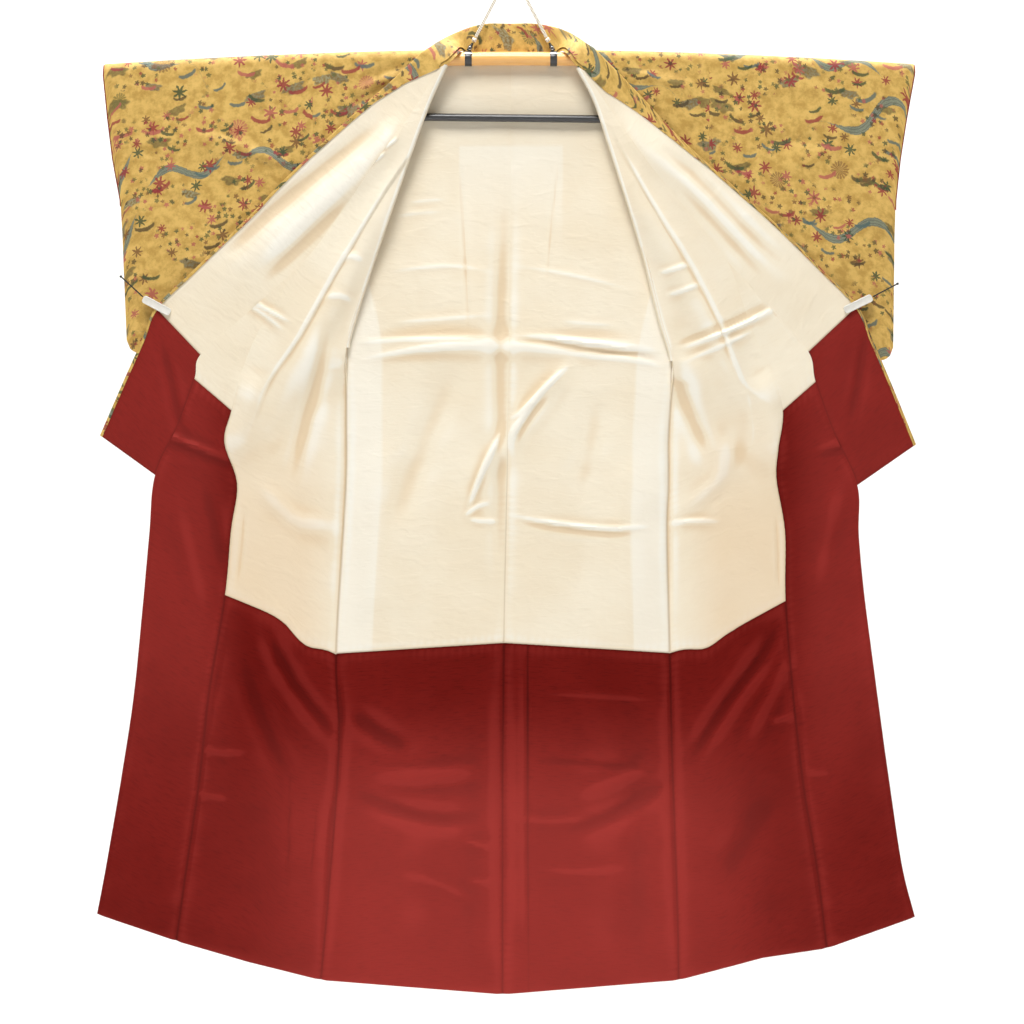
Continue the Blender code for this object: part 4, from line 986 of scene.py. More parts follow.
def off_centre_and_height(recipe):
    """The distance from the centre back, and the height, of each spot of the garment."""
    spot = recipe.object_place()
    return recipe.math("ABSOLUTE", recipe.part(spot, 0)), recipe.part(spot, 2)


# Painted light: the red lining is painted lighter low down, most at the middle of the hem and less up both
# sides
off_centre, height = off_centre_and_height(red)
middle = red.times(red.soft_step(off_centre, 0.60, 0.20), red.soft_step(height, -1.20, -1.45))
side_share = red.times_plus(red.soft_step(height, -1.10, -1.50), -0.36, 0.48)
beside = red.times(red.soft_step(off_centre, 0.43, 0.53), side_share)
painted_light = red.times_plus(middle, MIDDLE_PAINTED_LIGHT, beside)
red.paint(red.vector("MULTIPLY_ADD", painted_light, PAINTED_LIGHT_ADDS, red_colour))
# The cream has yellowed more on the lower fronts
off_centre, height = off_centre_and_height(cream)
yellowed = cream.times(cream.soft_step(off_centre, 0.27, 0.36), cream.soft_step(height, -0.66, -1.00))
cream.paint(cream.blend(cream.times(yellowed, YELLOW_SHARE), cream_colour, YELLOWED_TONE))
cream_silk, red_silk = cream.material, red.material
print("finishes:", cream_silk.name, red_silk.name)

# %% [markdown]
# The outer silk is dyed in a small all-over pattern on mottled gold. Each kind of motif is scattered
# over its own invisible cells: a cell gives a middle, a random turn, size, colour and whether the
# motif is there at all. Round measures then draw it: a leaf is a circle with seven cusps, a stroke is
# one circle less another. Everything reads the cloth's flat cut, so it bends with the folds.

# %% Scattered motifs
gold = Recipe("gold_silk", (0.64, 0.40, 0.09), 0.55, Sheen_Weight=0.08, Sheen_Tint=(1.0, 0.85, 0.5, 1),
              Specular_IOR_Level=0.30)
HUE_SPREAD = 7.3


def scattered(place, cell, share, spread=0.85, size_change=0.5, turns=2 * math.pi):
    """One kind of motif: its local place, its random colour value, and 1 where it is present."""
    cells = gold.add("TexVoronoi", place, None, 1 / cell, voronoi_dimensions="2D").node
    cells.inputs["Randomness"].default_value = spread
    turn, size, chance = gold.add("SeparateColor", cells.outputs["Color"]).node.outputs
    local = gold.vector("SUBTRACT", place, cells.outputs["Position"])
    angle = gold.times_plus(turn, turns, -turns / 2)
    local = gold.add("VectorRotate", local, None, None, angle, rotation_type="Z_AXIS")
    scale = gold.times_plus(size, size_change, 1 - size_change / 2)
    local = gold.vector("SCALE", local, None, None, scale)
    hue = gold.math("FRACT", gold.times(chance, HUE_SPREAD))
    return local, hue, gold.math("LESS_THAN", chance, share)


def polar(local):
    """The distance from a motif's middle and the angle round it."""
    radius = gold.vector("LENGTH", local, out=1)
    return radius, gold.math("ARCTAN2", gold.part(local, 1), gold.part(local, 0))


def round_wave(way, angle, times):
    """A wave with this many turns round a motif."""
    return gold.math(way, gold.times(angle, times))


def inside(radius, limit, softness=0.0007):
    """1 within a limit of radius, with a soft edge."""
    return gold.soft_step(gold.math("SUBTRACT", limit, radius), -softness, softness)


def moved(place, x, y):
    """A place shifted across the cloth."""
    return gold.vector("ADD", place, (x, y, 0.0))


def pick_dye(value, colours):
    """One of a few dyes by a random value."""
    ramp = gold.add("ValToRGB", value).node
    ramp.color_ramp.interpolation = "CONSTANT"
    stops = ramp.color_ramp.elements
    while len(stops) < len(colours):
        stops.new(1.0)
    for index, colour in enumerate(colours):
        stops[index].position = index / len(colours)
        stops[index].color = (*colour, 1)
    return ramp.outputs[0]


def lay(colour, mask, present, dye, strength):
    """Print a dye over the cloth's colour where the mask and the motif are."""
    return gold.blend(gold.times(gold.times(mask, present), strength), colour, dye)


CRIMSON, ROSE, BROWN = (0.30, 0.030, 0.036), (0.46, 0.11, 0.085), (0.20, 0.085, 0.028)
DARK_GREEN, OLIVE = (0.040, 0.072, 0.030), (0.13, 0.125, 0.035)
TEAL, PALE_TEAL = (0.085, 0.14, 0.13), (0.20, 0.26, 0.20)
INK = (0.075, 0.050, 0.022)
DARK_GOLD, BRIGHT_GOLD = (0.53, 0.315, 0.068), (0.74, 0.480, 0.130)
# Painted shade tones for the gold's hollows and its seams
HOLLOW_SHADE_GOLD, SEAM_SHADE_GOLD = (0.10, 0.055, 0.018), (0.13, 0.07, 0.02)
print("dyes ready")

# %% Gold silk, printed
flat_place = gold.cut_place()
# The print's edges wobble by a millimetre or two, as hand-dyed ones do
wobble = gold.noise(flat_place, 220.0, 2.0, 0.6, out=1)
wobble = gold.vector("ADD", wobble, (-0.5, -0.5, -0.5))
printed = gold.vector("MULTIPLY_ADD", wobble, (0.0045, 0.0045, 0.0), flat_place)
mottle = gold.soft_step(gold.noise(flat_place, 55.0, 4.0, 0.65), 0.34, 0.64)
gold_colour = gold.blend(mottle, DARK_GOLD, BRIGHT_GOLD)
# Winding streams with pale lines in them
local, hue, present = scattered(printed, 0.185, 0.80, 0.7, 0.3, 1.2)
x, y = (gold.part(local, index) for index in (0, 1))
off = gold.math("ABSOLUTE", gold.times_plus(round_wave("SINE", x, 55.0), 0.014, y))
taper = gold.soft_step(gold.math("ABSOLUTE", x), 0.072, 0.036)
stream = inside(off, gold.times(taper, 0.0064))
pale_lines = gold.soft_step(round_wave("SINE", off, 1900.0), 0.3, 0.9)
gold_colour = lay(gold_colour, stream, present, gold.blend(pale_lines, TEAL, PALE_TEAL), 0.85)
# Soft round-topped rocks and pines
local, hue, present = scattered(printed, 0.066, 0.72, turns=0.9)
radius, angle = polar(gold.vector("MULTIPLY", local, (0.62, 1.0, 1.0)))
limit = gold.times_plus(round_wave("SINE", angle, 6.0), 0.0014, 0.0098)
foot = gold.soft_step(gold.part(local, 1), -0.0048, -0.0030)
rock = gold.times(inside(radius, limit, 0.0014), foot)
dye = pick_dye(hue, [TEAL, OLIVE, PALE_TEAL, OLIVE])
shade = gold.soft_step(gold.noise(flat_place, 260.0, 2.0), 0.35, 0.65)
gold_colour = lay(gold_colour, rock, present, gold.blend(shade, dye, INK), 0.70)
# Brown-rose roundels with sixteen petals
local, hue, present = scattered(printed, 0.125, 0.45)
radius, angle = polar(local)
petals = gold.math("ABSOLUTE", round_wave("SINE", angle, 8.0))
bloom = inside(radius, gold.times_plus(petals, 0.0030, 0.0105))
rays = gold.soft_step(petals, 0.15, 0.55)
gold_colour = lay(gold_colour, gold.times(bloom, rays), present,
                  pick_dye(hue, [BROWN, ROSE, OLIVE]), 0.65)
print("larger motifs: streams, rocks, roundels")

# %% Leaves, strokes, blossoms and sprigs
LEAF_DYES = [CRIMSON, DARK_GREEN, ROSE, BROWN, CRIMSON]
STROKE_DYES = [CRIMSON, TEAL, DARK_GREEN, ROSE, INK]
STROKE_RADIUS = 0.0064
STROKE_BITE = 0.0052
for cell, share, shift in ((0.047, 0.72, 0.0), (0.060, 0.45, 0.31)):
    local, hue, present = scattered(moved(printed, shift, 2 * shift), cell, share)
    radius, angle = polar(local)
    cusp = gold.math("POWER", gold.math("ABSOLUTE", round_wave("SINE", angle, 3.5)), 1.5)
    leaf = inside(radius, gold.times_plus(cusp, -0.0066, 0.0100))
    gold_colour = lay(gold_colour, leaf, present, pick_dye(hue, LEAF_DYES), 0.88)
for cell, share, shift in ((0.047, 0.66, 0.17), (0.062, 0.60, 0.53)):
    local, hue, present = scattered(moved(printed, shift, 3 * shift), cell, share, turns=1.1)
    narrow = gold.vector("MULTIPLY", local, (0.48, 1.0, 1.0))
    outer, inner = (inside(gold.vector("LENGTH", moved(narrow, 0.0, up), out=1), STROKE_RADIUS)
                    for up in (0.0, STROKE_BITE))
    stroke = gold.math("SUBTRACT", outer, inner, clamp=True)
    gold_colour = lay(gold_colour, stroke, present, pick_dye(hue, STROKE_DYES), 0.85)
sprays = gold.soft_step(gold.noise(flat_place, 13.0, 2.0), 0.47, 0.53)
for cell, shift, dyes in ((0.0165, 0.11, [ROSE, CRIMSON, ROSE, BROWN]),
                          (0.0140, 0.67, [DARK_GREEN, OLIVE, INK])):
    local, hue, present = scattered(moved(printed, shift, shift), cell, 0.62)
    radius, angle = polar(local)
    bloom = inside(radius, gold.times_plus(round_wave("COSINE", angle, 5.0), 0.0009, 0.0030), 0.0005)
    gold_colour = lay(gold_colour, bloom, gold.times(present, sprays), pick_dye(hue, dyes), 0.80)
fleck = gold.soft_step(gold.noise(flat_place, 480.0, 3.0, 0.7), 0.60, 0.72)
# Painted shade in the hollows and at the seams
hollow = gold.soft_step(gold.attribute("hollow"), 0.1, 1.0)
seam_shade_mask = gold.soft_step(gold.attribute("from_seam"), 0.0032, 0.0004)
for mask, share, tone in ((fleck, 0.35, BROWN), (hollow, 0.38, HOLLOW_SHADE_GOLD), (seam_shade_mask, 0.6, SEAM_SHADE_GOLD)):
    gold_colour = gold.blend(gold.times(mask, share), gold_colour, tone)
gold.paint(gold_colour)
grain = gold.noise(flat_place, 1100.0, 2.0, 0.6)
gold.bump(gold.times_plus(gold.weave(flat_place, 450.0), 0.3, grain), 0.00016, 0.8)
gold_silk = gold.material
print("finish:", gold_silk.name, "nodes:", len(gold.tree.nodes))

# %% [markdown]
# Cell sizes set how fine each cloth's net is. The cream lining is in plain sight and full of small
# creases, so its cells are the smallest; silk that hides behind a lining has the largest.

# %% Cell sizes and easing
CREAM_CELL = 3.7 * MM
RED_CELL = 5.4 * MM
GOLD_CELL = 5.6 * MM
HIDDEN_CELL = 8.5 * MM
SILK_BACK = 0.5 * MM
PUFF = 1.1 * MM
RED_PUFF = 1.3 * MM
CREAM_PUCKER = 0.22 * MM
RED_PUCKER = 0.45 * MM
LEAST_LOW = 0.65 * MM
HEM_TURNS = 6
HEM_BACK = 3 * MM
ROLL_WRAP = [75, 55, 36, 18]
WRAP_ROWS = 0.5
WRAP_LEAST = 0.05
# Where the lining's seam dips on each front: its middle, how far and how wide, in millimetres
SEAM_DIP = {LEFT: (-345, -20, 32), RIGHT: (326, -14, 30)}
SEAM_DIP_ROWS = 0.5


def shares(width, cell):
    """Even shares from 0 to 1 that step by about one cell of a width."""
    return np.linspace(0, 1, math.ceil(width / cell) + 1)


def mixed(first, second, share):
    """Between two arrays by a share from 0 to 1."""
    return first * (1 - share) + second * share


def front_net(side, places, first, last, cell, columns):
    """A net between named lines of an opened front, from one station to another."""
    t = stations(lambda at: front_line(side, places[-1], at), first, last, cell)
    lines = np.array([front_line(side, place, t) for place in places])
    spans = len(places) - 1
    across = np.linspace(0, spans, spans * columns + 1)
    start = np.minimum(across.astype(int), spans - 1)
    part = (across - start)[None, :, None]
    flat = mixed(lines[start].transpose(1, 0, 2), lines[start + 1].transpose(1, 0, 2), part)
    x, z = flat[..., 0], flat[..., 1]
    centre, dip, width = SEAM_DIP[side]
    beside = np.exp(-((x / MM - centre) / width) ** 2)
    z = z + dip * MM * beside * np.exp(-((t[:, None] - LINING_SEAM) / SEAM_DIP_ROWS) ** 2)
    points, normals = on_panel(x, z, front_depth)
    return points, normals, t


def back_net(side, first, last, cell):
    """A net of half the back, from the pole (0) or a lower station to the hem (15)."""
    centres = [row[:2] for row in BACK_UPPER] + BACK_CENTRE
    sides = [(side * row[2], row[3]) for row in BACK_UPPER]
    sides += [row[:2] for row in FRONT_ROWS[side][CLIP:]]
    t = stations(lambda at: curve_at(sides, at) * MM, first, last, cell)
    across = shares(ARMHOLE_X, cell)[None, :, None]
    flat = mixed(curve_at(centres, t)[:, None], curve_at(sides, t)[:, None], across) * MM
    return on_panel(flat[..., 0], flat[..., 1], back_depth)


def with_hem(points, normals, low):
    """The net carried on round the hem's edge and a little way up the outside."""
    down = points[-1] - points[-2]
    down /= np.linalg.norm(down, axis=-1, keepdims=True)
    turns = np.linspace(0, math.pi, HEM_TURNS + 1)[1:]
    rows = [normals[-1] * math.cos(turn) + down * math.sin(turn) for turn in turns]
    extra = [points[-1]] * HEM_TURNS + [points[-1] - down * HEM_BACK]
    points = np.concatenate([points, extra])
    normals = np.concatenate([normals, rows, rows[-1:]])
    low = np.concatenate([low, [low[-1]] * (HEM_TURNS + 1)])
    return points, normals, low


def wrapped_roll(points, normals, t, side):
    """The net carried on round the soft roll of the lapel, as far down as the clip."""
    lifted = ROLL_RADIUS * normals[:, :1]
    centre = points[:, :1] - lifted
    fade = 1 - smoothstep((t - CLIP + WRAP_ROWS) / WRAP_ROWS)[:, None, None]
    angles = np.radians(ROLL_WRAP)[None, :, None] * np.maximum(fade, WRAP_LEAST)
    inward = np.zeros_like(lifted) + (-side, 0.0, 0.0)
    turned = normals[:, :1] * np.cos(angles) + inward * np.sin(angles)
    return (np.concatenate([centre + ROLL_RADIUS * turned, points], axis=1),
            np.concatenate([turned, normals], axis=1))


def silk_sheet(name, nodes, points, normals, back=0.0):
    """Outer silk on its net. Under a lining it lies a little back, clear of the lining's creases."""
    low = np.full(points.shape[:2], -SILK_HALF - back)
    return cloth(name, points, normals, low, 2 * SILK_HALF, gold_silk, nodes)


def lining_low(points, creases, seams, puff, pucker):
    """How far a lining's near face stands off the silk's middle."""
    rise = creases_height(points[..., 0], points[..., 2], fine(creases) + fine(SIDE_CREASES)) * CREASE_GAIN
    return np.maximum(LINING_NEAR + eased(points, seams, puff, pucker) + rise, LEAST_LOW)


def cream_lining(name, node, points, normals, creases, seams, puff=PUFF, allowance_and_light=None):
    """Cream lining on its net, eased between its seams."""
    low = lining_low(points, creases, seams, puff, CREAM_PUCKER)
    return cloth(name, points, normals, low, LINING_WALL, cream_silk, [node], seams, allowance_and_light)


def red_lining(name, node, points, normals, creases, seams, shaded_seams):
    """Red lining on its net, turned round the hem; the last argument says which seams get a line of
    painted shade.
    """
    low = lining_low(points, creases, seams, RED_PUFF, RED_PUCKER)
    points, normals, low = with_hem(points, normals, low)
    return cloth(name, points, normals, low, LINING_WALL, red_silk, [node], shaded_seams)


print("cells:", CREAM_CELL / MM, RED_CELL / MM, GOLD_CELL / MM)

# %% [markdown]
# The back is two long cloths sewn down the middle. Outside it is gold silk to the hem; inside, the
# cream lining comes down to a seam below the hips, and the red hem lining runs on and turns a few
# millimetres round the hem, so a thin red line shows from behind too.

# %% What shows through the back's lining, and a patch of painted light below the neck
ALLOWANCE = 62 * MM
ALLOWANCE_TOP = -0.48
ALLOWANCE_RUN = 0.06
EDGE_BLUR = 4 * MM
# A patch of painted light below the neck: half its width, its top, how far down it fades and its strength
LIGHT_PATCH_HALF = 88 * MM
LIGHT_PATCH_TOP = -303 * MM
LIGHT_PATCH_FADE = 220 * MM
LIGHT_PATCH_SHARE = 0.8
STITCH_LIFT = 0.6 * MM
# The hem lining's stitched line beside the centre, which gets painted seam shade, top and bottom in
# millimetres
SECOND_LINE = ((27, -1085), (30, -1713))


def doubled(points):
    """1 where seam allowances lie under the cream silk, and less on a patch of painted light below the
    neck, fading downward.
    """
    x, z = points[..., 0], points[..., 2]
    to_side = np.abs(x[:, -1:]) - np.abs(x)
    band = smoothstep((ALLOWANCE - to_side) / EDGE_BLUR) * smoothstep((ALLOWANCE_TOP - z) / ALLOWANCE_RUN)
    patch = smoothstep((LIGHT_PATCH_HALF - np.abs(x)) / EDGE_BLUR) * smoothstep((LIGHT_PATCH_TOP - z) / EDGE_BLUR)
    return np.maximum(band, patch * (1 - smoothstep((LIGHT_PATCH_TOP - z) / LIGHT_PATCH_FADE)) * LIGHT_PATCH_SHARE)


def shade_stitched_line(piece, top, bottom):
    """Lay painted seam shade along a stitched line from top to bottom, given in millimetres."""
    count = len(piece.data.vertices)
    places = np.empty(3 * count)
    near = np.empty(count)
    piece.data.vertices.foreach_get("co", places)
    values = piece.data.attributes["from_seam"].data
    values.foreach_get("value", near)
    x, z = places[0::3], places[2::3]
    line_x = np.interp(-z / MM, [-top[1], -bottom[1]], [top[0], bottom[0]]) * MM
    values.foreach_set("value", np.minimum(near, np.abs(x - line_x) + STITCH_LIFT))


# %% The back
CENTRE_SEAM_TOP = 0.3
CENTRE_SEAM_MORE = 0.5
CENTRE_SEAM_Z = -0.45
CENTRE_SEAM_RUN = 0.5
HEM_SEAMS = Seams(1, 1, 1, 0)

for side, word in SIDES.items():
    points, normals = back_net(side, 0, HEM, HIDDEN_CELL)
    silk = silk_sheet(f"back_silk_{word}", [f"back_{word}"], points, normals, SILK_BACK)
    points, normals = back_net(side, 0, LINING_SEAM, CREAM_CELL)
    below = smoothstep((CENTRE_SEAM_Z - points[:, :1, 2]) / CENTRE_SEAM_RUN)
    seams = Seams(CENTRE_SEAM_TOP + CENTRE_SEAM_MORE * below, 1, 0, 1)
    cream_lining(f"back_cream_{word}", f"back_lining_{word}", points, normals, BACK_CREASES, seams,
                 allowance_and_light=doubled(points))
    points, normals = back_net(side, LINING_SEAM, HEM, RED_CELL)
    red_piece = red_lining(f"back_red_{word}", f"back_hem_lining_{word}", points, normals,
                           BACK_CREASES, HEM_SEAMS, HEM_SEAMS)
    if side == RIGHT:
        shade_stitched_line(red_piece, *SECOND_LINE)

# %% [markdown]
# Each front is turned back over itself, so from here only its lining shows. The narrow overlap cloth
# is sewn along it from a point on the collar seam to the hem. The collar starts beside the okumi's
# end and is lined in red to the clip and in cream above it.

# %% The fronts and the overlap panels
FRONT = (ROLL, PLEAT, OKUMI)
OVERLAP = (OKUMI, SEAM)
COLLAR = (SEAM, EDGE)
# Columns of a span in the silk, the cream and the red
FRONT_COLUMNS = (20, 34, 26)
OVERLAP_COLUMNS = (24, 24, 32)
OVERLAP_PUFF = 0.6 * PUFF
OVERLAP_CREAM_SEAMS = Seams(0.4, 0.5, 0, 1)
OVERLAP_RED_SEAMS = Seams(1, 0, 1, 0)
ROLL_SEAM_ROWS = 0.5
OUTER_SEAM = 0.25
OUTER_SEAM_ROWS = 1.5
COLLAR_END_ROWS = 0.1
COLLAR_END_SEAM = 0.6

for side, word in SIDES.items():
    points, normals = front_net(side, FRONT, NECK, HEM, HIDDEN_CELL, FRONT_COLUMNS[0])[:2]
    silk = silk_sheet(f"front_silk_{word}", [f"front_{word}", f"front_top_{word}"],
                      points, normals, SILK_BACK)
    points, normals, t = front_net(side, FRONT, NECK, LINING_SEAM, CREAM_CELL, FRONT_COLUMNS[1])
    sewn = smoothstep((t - CLIP) / ROLL_SEAM_ROWS)[:, None]
    outer = OUTER_SEAM + (1 - OUTER_SEAM) * smoothstep((t - CLIP) / OUTER_SEAM_ROWS)[:, None]
    points, normals = wrapped_roll(points, normals, t, side)
    cream_lining(f"front_cream_{word}", f"front_lining_{word}", points, normals, FRONT_CREASES,
                 Seams(sewn, outer, 0, 1))
    points, normals = front_net(side, FRONT, LINING_SEAM, HEM, RED_CELL, FRONT_COLUMNS[2])[:2]
    red_lining(f"front_red_{word}", f"front_hem_lining_{word}", points, normals, FRONT_CREASES,
               HEM_SEAMS, HEM_SEAMS)
    points, normals = front_net(side, OVERLAP, TIP, HEM, HIDDEN_CELL, OVERLAP_COLUMNS[0])[:2]
    silk = silk_sheet(f"okumi_silk_{word}", [f"okumi_{word}"], points, normals,
                      SILK_BACK)
    points, normals = front_net(side, OVERLAP, TIP, OKUMI_RED, CREAM_CELL, OVERLAP_COLUMNS[1])[:2]
    cream_lining(f"okumi_cream_{word}", f"okumi_lining_{word}", points, normals, FRONT_CREASES,
                 OVERLAP_CREAM_SEAMS, OVERLAP_PUFF)
    points, normals, t = front_net(side, OVERLAP, OKUMI_RED, HEM, RED_CELL, OVERLAP_COLUMNS[2])
    sewn = 1 - smoothstep((t - COLLAR_END) / COLLAR_END_ROWS)[:, None]
    red_lining(f"okumi_red_{word}", f"okumi_hem_lining_{word}", points, normals, FRONT_CREASES,
               Seams(1, np.maximum(sewn, COLLAR_END_SEAM), 1, 0), OVERLAP_RED_SEAMS)

# %% [markdown]
# The stretch between the armhole and the lapel belongs to the same cloth as the front. It comes over
# the pole with its gold side out, hangs down, and at the lapel it rolls over towards the viewer. The
# roll is a soft half turn, not a crease, because nothing presses it.

# %% The shoulders and the roll of the lapels
POLE_TURNS = [-90, -60, -30, 0, 30, 60, 90]
POLE_NECK_X = [93, 97, 106, 116, 122, 125, 126]
ROLL_LENGTH = math.pi * ROLL_RADIUS
ROLL_STEPS = 10
ROLL_SHARES = np.linspace(0, 1, ROLL_STEPS + 1)[1:]
POLE_ROWS = 13
SHOULDER_WIDTH = 0.2
SHOULDER_PUFF = 0.4 * PUFF
EDGE_FADE = 30 * MM
ARMHOLE_TOP = [330.0, 0.0]


def over_pole(x, turn):
    """Points of cloth over the pole, this turn forward of its top."""
    inner = np.array([0.0, math.sin(turn), -math.cos(turn)])
    return np.stack([x, np.zeros_like(x), pole_z(x)], axis=-1) - DRAPE_RADIUS * inner


def armhole_at(t):
    """The armhole's edge beside stations t of the lapel, on the right."""
    curve = curve_at(ARMHOLE, np.maximum(t - 1, 0))
    top = np.array([ARMHOLE_TOP[0], (POLE_Z - DRAPE_RADIUS) / MM])
    return np.minimum(mixed(top, curve, np.clip(t, 0, 1)[:, None]), ARMHOLE_TOP) * MM


def inner_normals(points, side):
    """Normals towards the cloth's inner side, from the net's own slopes."""
    down = np.gradient(points, axis=0)
    outward = np.gradient(points, axis=1)
    normal = np.cross(outward, down) * side
    return normal / np.linalg.norm(normal, axis=-1, keepdims=True)


def shoulder_net(side, cell):
    """From the pole's rear, over it and down to the armpit, and across into the roll."""
    flat_shares = shares(SHOULDER_WIDTH, cell)
    rows = []
    for turn in np.linspace(POLE_TURNS[0], POLE_TURNS[-1], POLE_ROWS):
        neck = np.interp(turn, POLE_TURNS, POLE_NECK_X) * MM
        x = np.append(ARMHOLE_X + (neck - ARMHOLE_X) * flat_shares, neck - ROLL_LENGTH * ROLL_SHARES)
        rows.append(over_pole(side * x, math.radians(turn)))
    t = stations(lambda at: front_line(side, ROLL, at), NECK, CLIP, cell)
    roll_line = front_line(side, ROLL, t)
    for edge, roll in zip(armhole_at(t), roll_line):
        edge = edge * (side, 1)
        x = edge[0] + (roll[0] - edge[0]) * flat_shares
        z = edge[1] + (roll[1] - edge[1]) * flat_shares
        relief = creases_height(x, z, SLEEVE_CREASES) + ripples(x, z, RIPPLE)
        beside = np.minimum(abs(x) - abs(roll[0]), ARMHOLE_X - abs(x)) / EDGE_FADE
        y = wall_depths(x, z)[0] - relief * smoothstep(beside)
        angle = math.pi * ROLL_SHARES
        roll_x = x[-1] - side * np.sin(angle) * ROLL_RADIUS
        roll_y = y[-1] + (np.cos(angle) - 1) * ROLL_RADIUS
        rows.append(np.stack([np.append(x, roll_x), np.append(y, roll_y),
                              np.append(z, np.full(ROLL_STEPS, z[-1]))], axis=-1))
    points = np.array(rows)
    return points, -inner_normals(points, side)


for side, word in SIDES.items():
    points, normals = shoulder_net(side, GOLD_CELL)
    silk = silk_sheet(f"shoulder_silk_{word}", [f"shoulder_{word}"], points, normals)
    seams = Seams(1, 0, 0, 0)
    low = LINING_NEAR + eased(points, seams, SHOULDER_PUFF, CREAM_PUCKER)
    cloth(f"shoulder_cream_{word}", points, normals, low, LINING_WALL, cream_silk,
          [f"shoulder_lining_{word}"], seams)

# %% [markdown]
# Just under the armpit the turned front comes back to the side seam. Its allowance goes in there from
# the front's level to the back's, and closes the slot between them.

# %% The allowances turned in to the side seams
TUCK_TOP = CLIP - 0.1
TUCK_BOTTOM = CLIP + 2.4
TUCK_COLUMNS = 5
LEAST_TUCK = 3.0 * MM
TUCK_BULGE = 1.5 * MM
BULGE_FROM = 6 * MM

for side, word in SIDES.items():
    t = stations(lambda at: front_line(side, ROLL, at), TUCK_TOP, TUCK_BOTTOM, CREAM_CELL)
    line = front_line(side, ROLL, t)
    near = front_depth(line[:, 0], line[:, 1]) - LINING_NEAR
    far = np.maximum(back_depth(line[:, 0], line[:, 1]), near + LEAST_TUCK)
    share = np.linspace(0, 1, TUCK_COLUMNS + 1)[None, :]
    y = mixed(near[:, None], far[:, None], share)
    bulge = TUCK_BULGE * np.sin(math.pi * share) * smoothstep((y[:, -1:] - y[:, :1]) / BULGE_FROM)
    x = line[:, :1] - side * bulge
    points = np.stack([x, y, np.broadcast_to(line[:, 1:], y.shape)], axis=-1)
    normals = np.zeros_like(points)
    normals[..., 0] = -side
    cloth(f"side_tuck_{word}", points, normals, np.zeros(points.shape[:2]), LINING_WALL, cream_silk, [])

# %% [markdown]
# The collar is one long strip. Behind the neck it lies doubled; down the lapels it opens out, and
# only a narrow fold of it still turns over the lining at the edge, which is the gold line there.

# %% The collar
TURN_RADIUS = 1.4 * MM
TURN_STEPS = 4
NECK_FOLD = 50 * MM
FOLD_CLEAR = 6 * MM
BAND_CLEAR = 2 * MM
NECK_OVER = 9 * MM
NECK_OVER_RUN = 60 * MM
FLAT_COLUMNS = 24
FOLD_COLUMNS = 9
LINING_COLUMNS = 30
LINING_INSET = 0.6 * MM
COLLAR_PUFF = 0.4 * MM
COLLAR_PUCKER = 0.15 * MM


def band(flat, normals, fold):
    """Each row of a flat band carried round its edge and folded in over itself."""
    edge = flat[:, -1:]
    normal = normals[:, -1:]
    outward = edge - flat[:, -2:-1]
    outward /= np.linalg.norm(outward, axis=-1, keepdims=True)
    turns = np.linspace(0, math.pi, TURN_STEPS + 1)[None, 1:, None]
    rounded = edge + TURN_RADIUS * (normal * (1 - np.cos(turns)) + outward * np.sin(turns))
    turned = normal * np.cos(turns) - outward * np.sin(turns)
    reach = np.linspace(0, 1, FOLD_COLUMNS + 1)[None, 1:, None] * fold[:, None, None]
    folded = rounded[:, -1:] - outward * reach
    back = np.repeat(-normal, FOLD_COLUMNS, axis=1)
    points = np.concatenate([flat, rounded, folded], axis=1)
    return points, np.concatenate([normals, turned, back], axis=1)


def lapel_band(side, cell):
    """The collar's rows down one lapel, from the neck to the collar's end."""
    points, normals = front_net(side, COLLAR, NECK, COLLAR_END, cell, FLAT_COLUMNS)[:2]
    run = np.append(0.0, np.linalg.norm(np.diff(points[:, -1], axis=0), axis=1).cumsum())
    widths = np.array(COLLAR_FOLDS[side]) * MM
    fold = np.interp(run, widths[:, 0], widths[:, 1])
    room = np.linalg.norm(points[:, -1] - points[:, 0], axis=1) - BAND_CLEAR
    room += NECK_OVER * (1 - smoothstep(run / NECK_OVER_RUN))
    return band(points, normals, np.minimum(fold, room))


def neck_band(first, last, cell):
    """The doubled collar's rows round the back of the neck, between the two lapels."""
    pairs = [first] + [np.array(row) * MM for row in COLLAR_NECK] + [last]
    t = stations(lambda at: curve_at(pairs, at)[:, 3:], 0, len(pairs) - 1, cell)[1:-1]
    path = curve_at(pairs, t)
    seam, edge = path[:, None, :3], path[:, None, 3:]
    part = np.linspace(0, 1, FLAT_COLUMNS + 1)[None, :, None]
    flat = mixed(seam, edge, part)
    along = np.gradient(path[:, :3] + path[:, 3:], axis=0)
    normal = np.cross(along, path[:, 3:] - path[:, :3])
    normal /= np.linalg.norm(normal, axis=1, keepdims=True)
    normals = np.repeat(normal[:, None], FLAT_COLUMNS + 1, axis=1)
    width = np.linalg.norm(path[:, 3:] - path[:, :3], axis=1)
    return band(flat, normals, np.minimum(NECK_FOLD, width - FOLD_CLEAR))


